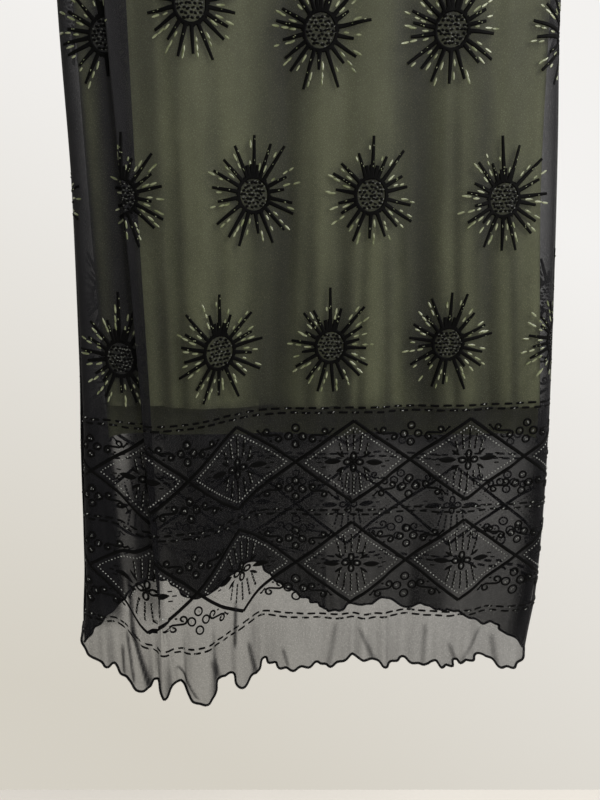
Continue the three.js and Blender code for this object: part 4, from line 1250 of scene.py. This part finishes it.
def lining_material(name, side):
    """Olive woven lining with a dull sheen; its outer side is painted light, lighter than its own olive, with
    faint vertical streaky tone, partly random and partly painted shade of soft folds.
    """
    material, tree, shader = new_material(
        name, Roughness=0.6, Sheen_Weight=0.08, Sheen_Roughness=0.4, Specular_IOR_Level=0.25)
    # Streaks of tone: partly random, partly painted shade of soft folds
    streaks_and_painted_shade = noise(tree, 26, 4.0, (1, 1, 0.07))
    mottle = noise(tree, 60, 3.0)
    mixed = blended(tree, streaks_and_painted_shade, mottle, 0.25)
    # The outer side is painted light, lighter than the lining's own olive to make up for the light that the
    # net before it holds back; the inner side that shows at the neck and armholes has no net before it, so it
    # keeps the darker own colour
    upper = spread(tree, axes(tree, "Object")["Z"], -0.46, -0.36, 0, 1)
    turned_in = spread(tree, axes(tree, "Normal")["Y"], side * -0.1, side * 0.1, 1, 0)
    inside = combine(tree, "MULTIPLY", upper, turned_in)
    toned = node(tree, "ShaderNodeMix", data_type="RGBA")
    toned.inputs[7].default_value = (*LINING_INSIDE, 1)
    tree.links.new(inside, toned.inputs[0])
    tree.links.new(ramp(tree, mixed, 0.32, 0.66, LINING_OUTSIDE_PAINTED_LIGHT_AND_SHADE, LINING_OUTSIDE_PAINTED_LIGHT), toned.inputs[6])
    tree.links.new(toned.outputs[2], shader.inputs["Base Color"])
    bump(tree, shader, weave(tree, 0.0007), 0.0002, 0.5)
    return material


def grained(name, scale, detail, dark, light, depth=0.0003, strength=0.6, relief_of=None, low=0.3, **sockets):
    """Material whose colour follows one fine noise, and its relief that noise or another texture."""
    material, tree, shader = new_material(name, **sockets)
    grain = noise(tree, scale, detail)
    tree.links.new(ramp(tree, grain, low, 1 - low, dark, light), shader.inputs["Base Color"])
    bump(tree, shader, relief_of(tree) if relief_of else grain, depth, strength)
    return material


def glint_material(name, dull, bright):
    """Small pale marks with a soft gloss."""
    return grained(name, 140, 2.0, dull, bright, 0.0002, 0.5, lambda tree: noise(tree, 1500, 1.0), 0.35,
                   Roughness=0.34, Specular_IOR_Level=0.6, Coat_Weight=0.25, Coat_Roughness=0.15)


def wood_material():
    """Pale varnished beech with long grain."""
    material, tree, shader = new_material("hanger_wood", Coat_Weight=0.35, Coat_Roughness=0.18)
    grain = node(tree, "ShaderNodeTexWave", bands_direction="Z", in_Scale=28.0, in_Distortion=5.0,
                 in_Detail=3.0, in_Detail_Scale=1.4)
    tree.links.new(scaled(tree, (0.22, 1.0, 1.0)), grain.inputs["Vector"])
    pores = noise(tree, 900, 2.0, (0.08, 1, 1))
    mixed = blended(tree, grain.outputs["Fac"], pores, 0.3)
    tree.links.new(ramp(tree, mixed, 0.2, 0.85, (0.30, 0.165, 0.075), (0.52, 0.33, 0.17)),
                   shader.inputs["Base Color"])
    tree.links.new(spread(tree, pores, 0.3, 0.7, 0.38, 0.52), shader.inputs["Roughness"])
    bump(tree, shader, pores, 0.0002, 0.4)
    return material


def steel_material():
    """Brushed steel wire, drawn along its length."""
    material, tree, shader = new_material("hook_steel", Metallic=1.0)
    drawn = noise(tree, 700, 2.0, (1, 1, 0.1))
    tree.links.new(ramp(tree, drawn, 0.3, 0.7, (0.46, 0.47, 0.48), (0.62, 0.63, 0.64)),
                   shader.inputs["Base Color"])
    tree.links.new(spread(tree, drawn, 0.3, 0.7, 0.24, 0.36), shader.inputs["Roughness"])
    bump(tree, shader, drawn, 0.0001, 0.3)
    return material


def floor_material():
    """Pale matt floor."""
    material, tree, shader = new_material("pale_floor", Roughness=0.75)
    tree.links.new(ramp(tree, noise(tree, 3, 3.0), 0.3, 0.7, (0.72, 0.69, 0.64), (0.76, 0.73, 0.68)),
                   shader.inputs["Base Color"])
    return material


NET = net_material()
# Raised black flock, overlock thread and woven tape
PRINT = grained("black_print", 900, 2.0, (0.001, 0.001, 0.001), (0.003, 0.003, 0.003),
                Roughness=0.6, Sheen_Weight=0.01, Sheen_Roughness=0.4, Specular_IOR_Level=0.04)
THREAD = grained("black_thread", 1400, 1.0, (0.002, 0.002, 0.002), (0.006, 0.006, 0.006), strength=0.7,
                 Roughness=0.7, Sheen_Weight=0.03, Specular_IOR_Level=0.1)
BINDING = grained("black_binding", 260, 3.0, (0.010, 0.010, 0.011), (0.026, 0.026, 0.027), strength=0.7,
                  relief_of=lambda tree: weave(tree, 0.0008), Roughness=0.72, Sheen_Weight=0.2)
LINING_BEFORE = lining_material("olive_lining_front", -1)
LINING_BEHIND = lining_material("olive_lining_back", 1)
GLINT = glint_material("pale_glint", (0.10, 0.118, 0.045), (0.23, 0.25, 0.15))
SILVER = glint_material("silver_glint", (0.08, 0.085, 0.075), (0.30, 0.31, 0.29))
DULL_SILVER = glint_material("dull_glint", (0.03, 0.033, 0.026), (0.11, 0.115, 0.10))
WOOD, STEEL = wood_material(), steel_material()


def finished(piece, material, slot, *nodes):
    """Gives a piece its material, attaches it to the root and hides the nodes that it replaces; the slot is
    not used.
    """
    piece.data.materials.clear()
    piece.data.materials.append(material)
    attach(piece, "root")
    if nodes:
        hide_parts(*nodes)
    return piece


# Camera of the photograph: a hand-held phone, close in front of the skirt and tilted down
CAMERA_PLACE = (0.0, -0.658, -1.0325)
CAMERA_TILT = 13.7
CAMERA_LENS = 27.18


def add_camera():
    data = bpy.data.cameras.new("camera")
    data.lens, data.sensor_width, data.clip_start = CAMERA_LENS, 36, 0.01
    camera = bpy.data.objects.new("camera", data)
    camera.location = CAMERA_PLACE
    camera.rotation_euler = (math.radians(90 - CAMERA_TILT), 0, 0)
    bpy.context.scene.collection.objects.link(camera)
    bpy.context.scene.camera = camera


FLOOR_Z = -1.79
FLOOR_BACK = 0.06
WORLD_STRENGTH = 1.0
ROOM_STRENGTH = 0.42
KEY_ENERGY = 35.0
KEY_PLACE = (1.05, -0.9, -0.12)
KEY_TARGET = (0.0, 0.0, -0.9)


def add_stage():
    """Pale floor, an even pale surround and one large soft light."""
    mesh = bpy.data.meshes.new("floor")
    corners = [(-1.6, -1.8), (1.6, -1.8), (1.6, FLOOR_BACK), (-1.6, FLOOR_BACK)]
    mesh.from_pydata([(x, y, FLOOR_Z) for x, y in corners], [], [(0, 1, 2, 3)])
    mesh.materials.append(floor_material())
    floor = bpy.data.objects.new("floor", mesh)
    bpy.context.scene.collection.objects.link(floor)

    world = bpy.data.worlds.new("surround")
    bpy.context.scene.world = world
    world.use_nodes = True
    tree = world.node_tree
    parts = axes(tree, "Generated")
    rise = combine(tree, "ADD", parts["Z"], combine(tree, "MULTIPLY", parts["X"], 0.45))
    rise = spread(tree, rise, -0.75, 0.2, 0, 1)
    colour = ramp(tree, rise, 0.0, 1.0, (0.66, 0.625, 0.55), (0.90, 0.885, 0.865))
    tree.links.new(colour, tree.nodes["Background"].inputs["Color"])
    # The room is dimmer on the side away from the pale wall
    strength = spread(tree, parts["Y"], -0.1, 0.3, ROOM_STRENGTH, WORLD_STRENGTH)
    tree.links.new(strength, tree.nodes["Background"].inputs["Strength"])

    data = bpy.data.lights.new("key", "AREA")
    data.shape, data.size, data.size_y, data.energy = "RECTANGLE", 1.0, 1.4, KEY_ENERGY
    data.color = (1.0, 0.98, 0.95)
    key = bpy.data.objects.new("key", data)
    key.location = KEY_PLACE
    key.rotation_euler = (Vector(KEY_TARGET) - key.location).to_track_quat("-Z", "Y").to_euler()
    bpy.context.scene.collection.objects.link(key)


add_camera()
add_stage()
bpy.context.scene.view_settings.view_transform = "Standard"

net_front_cloth, front_points = cloth(
    "net_front_cloth", net_front, -1, FRONT_STRETCHES, NET_ROWS, NECK_DEPTH_FRONT, 0, turn=0.4,
    layers_and_shade=front_layers_and_shade)
net_back_cloth, back_points = cloth(
    "net_back_cloth", net_back, 1, BACK_STRETCHES, NET_ROWS, NECK_DEPTH_BACK, 0, turn=2.1,
    layers_and_shade=back_layers_and_shadow)
lining_front_cloth, _ = cloth(
    "lining_front_cloth", lining_front, -1, LINING_STRETCHES, LINING_FRONT_ROWS, NECK_DEPTH_FRONT,
    LINING_INSET)
lining_back_cloth, _ = cloth(
    "lining_back_cloth", lining_back, 1, LINING_STRETCHES, LINING_BACK_ROWS, NECK_DEPTH_BACK,
    LINING_INSET)
finished(net_front_cloth, NET, "net", "net_front")
finished(net_back_cloth, NET, "net", "net_back")
finished(lining_front_cloth, LINING_BEFORE, "lining", "lining_front")
finished(lining_back_cloth, LINING_BEHIND, "lining", "lining_back")

FRONT_SHIFTS = {(383, -1): (7, 0), (533, -1): (7, 2), (533, 1): (9, -5), (681, -1): (3, 22)}
front_print = printed(
    "front", Layout(net_front, -1, FRONT_STRETCHES, NECK_DEPTH_FRONT), 11, FRONT_SHIFTS)
back_print = printed("back", Layout(net_back, 1, BACK_STRETCHES, NECK_DEPTH_BACK), 12, {})

HEM_RADIUS = 1.45
for name, points in (("front", front_points), ("back", back_points)):
    path = along_curve(points[0], 0.55, closed=False)
    thread = tube(f"hem_thread_{name}", path, HEM_RADIUS, 6, ridge=0.22)
    finished(thread, THREAD, "thread")

seam_heights = np.arange(4, UNDERARM, 6.0)
for name, u in (("left", 0.0), ("right", 1.0)):
    path = net_front(np.full(len(seam_heights), u), seam_heights) * (1, 0, 1)
    finished(tube(f"side_seam_{name}", path, 0.9, 6), THREAD, "thread")
shoulder_x = np.linspace(NECK_HALF + 1, 182, 24)
for name, hand in (("left", -1), ("right", 1)):
    path = np.stack([hand * shoulder_x, 0 * shoulder_x, arch_centre(shoulder_x) + NET_ARCH], axis=1)
    finished(tube(f"shoulder_seam_{name}", path, 0.8, 6), THREAD, "thread")

neck_path = neck_loop()
bindings = [finished(tube("neck_binding_tape", neck_path, BINDING_RADIUS, 10, closed=True), BINDING,
                     "binding", "neck_binding")]
for name, hand in (("left", -1), ("right", 1)):
    loop = armhole_loop(hand)
    piece = tube(f"armhole_binding_{name}_tape", loop, BINDING_RADIUS, 10, closed=True)
    bindings.append(finished(piece, BINDING, "binding", f"armhole_binding_{name}"))

finished(hanger_arms(), WOOD, "hanger", "hanger_arms")
finished(hanger_hook(), STEEL, "hook", "hanger_hook")
finished(hanger_collar(), STEEL, "hook")
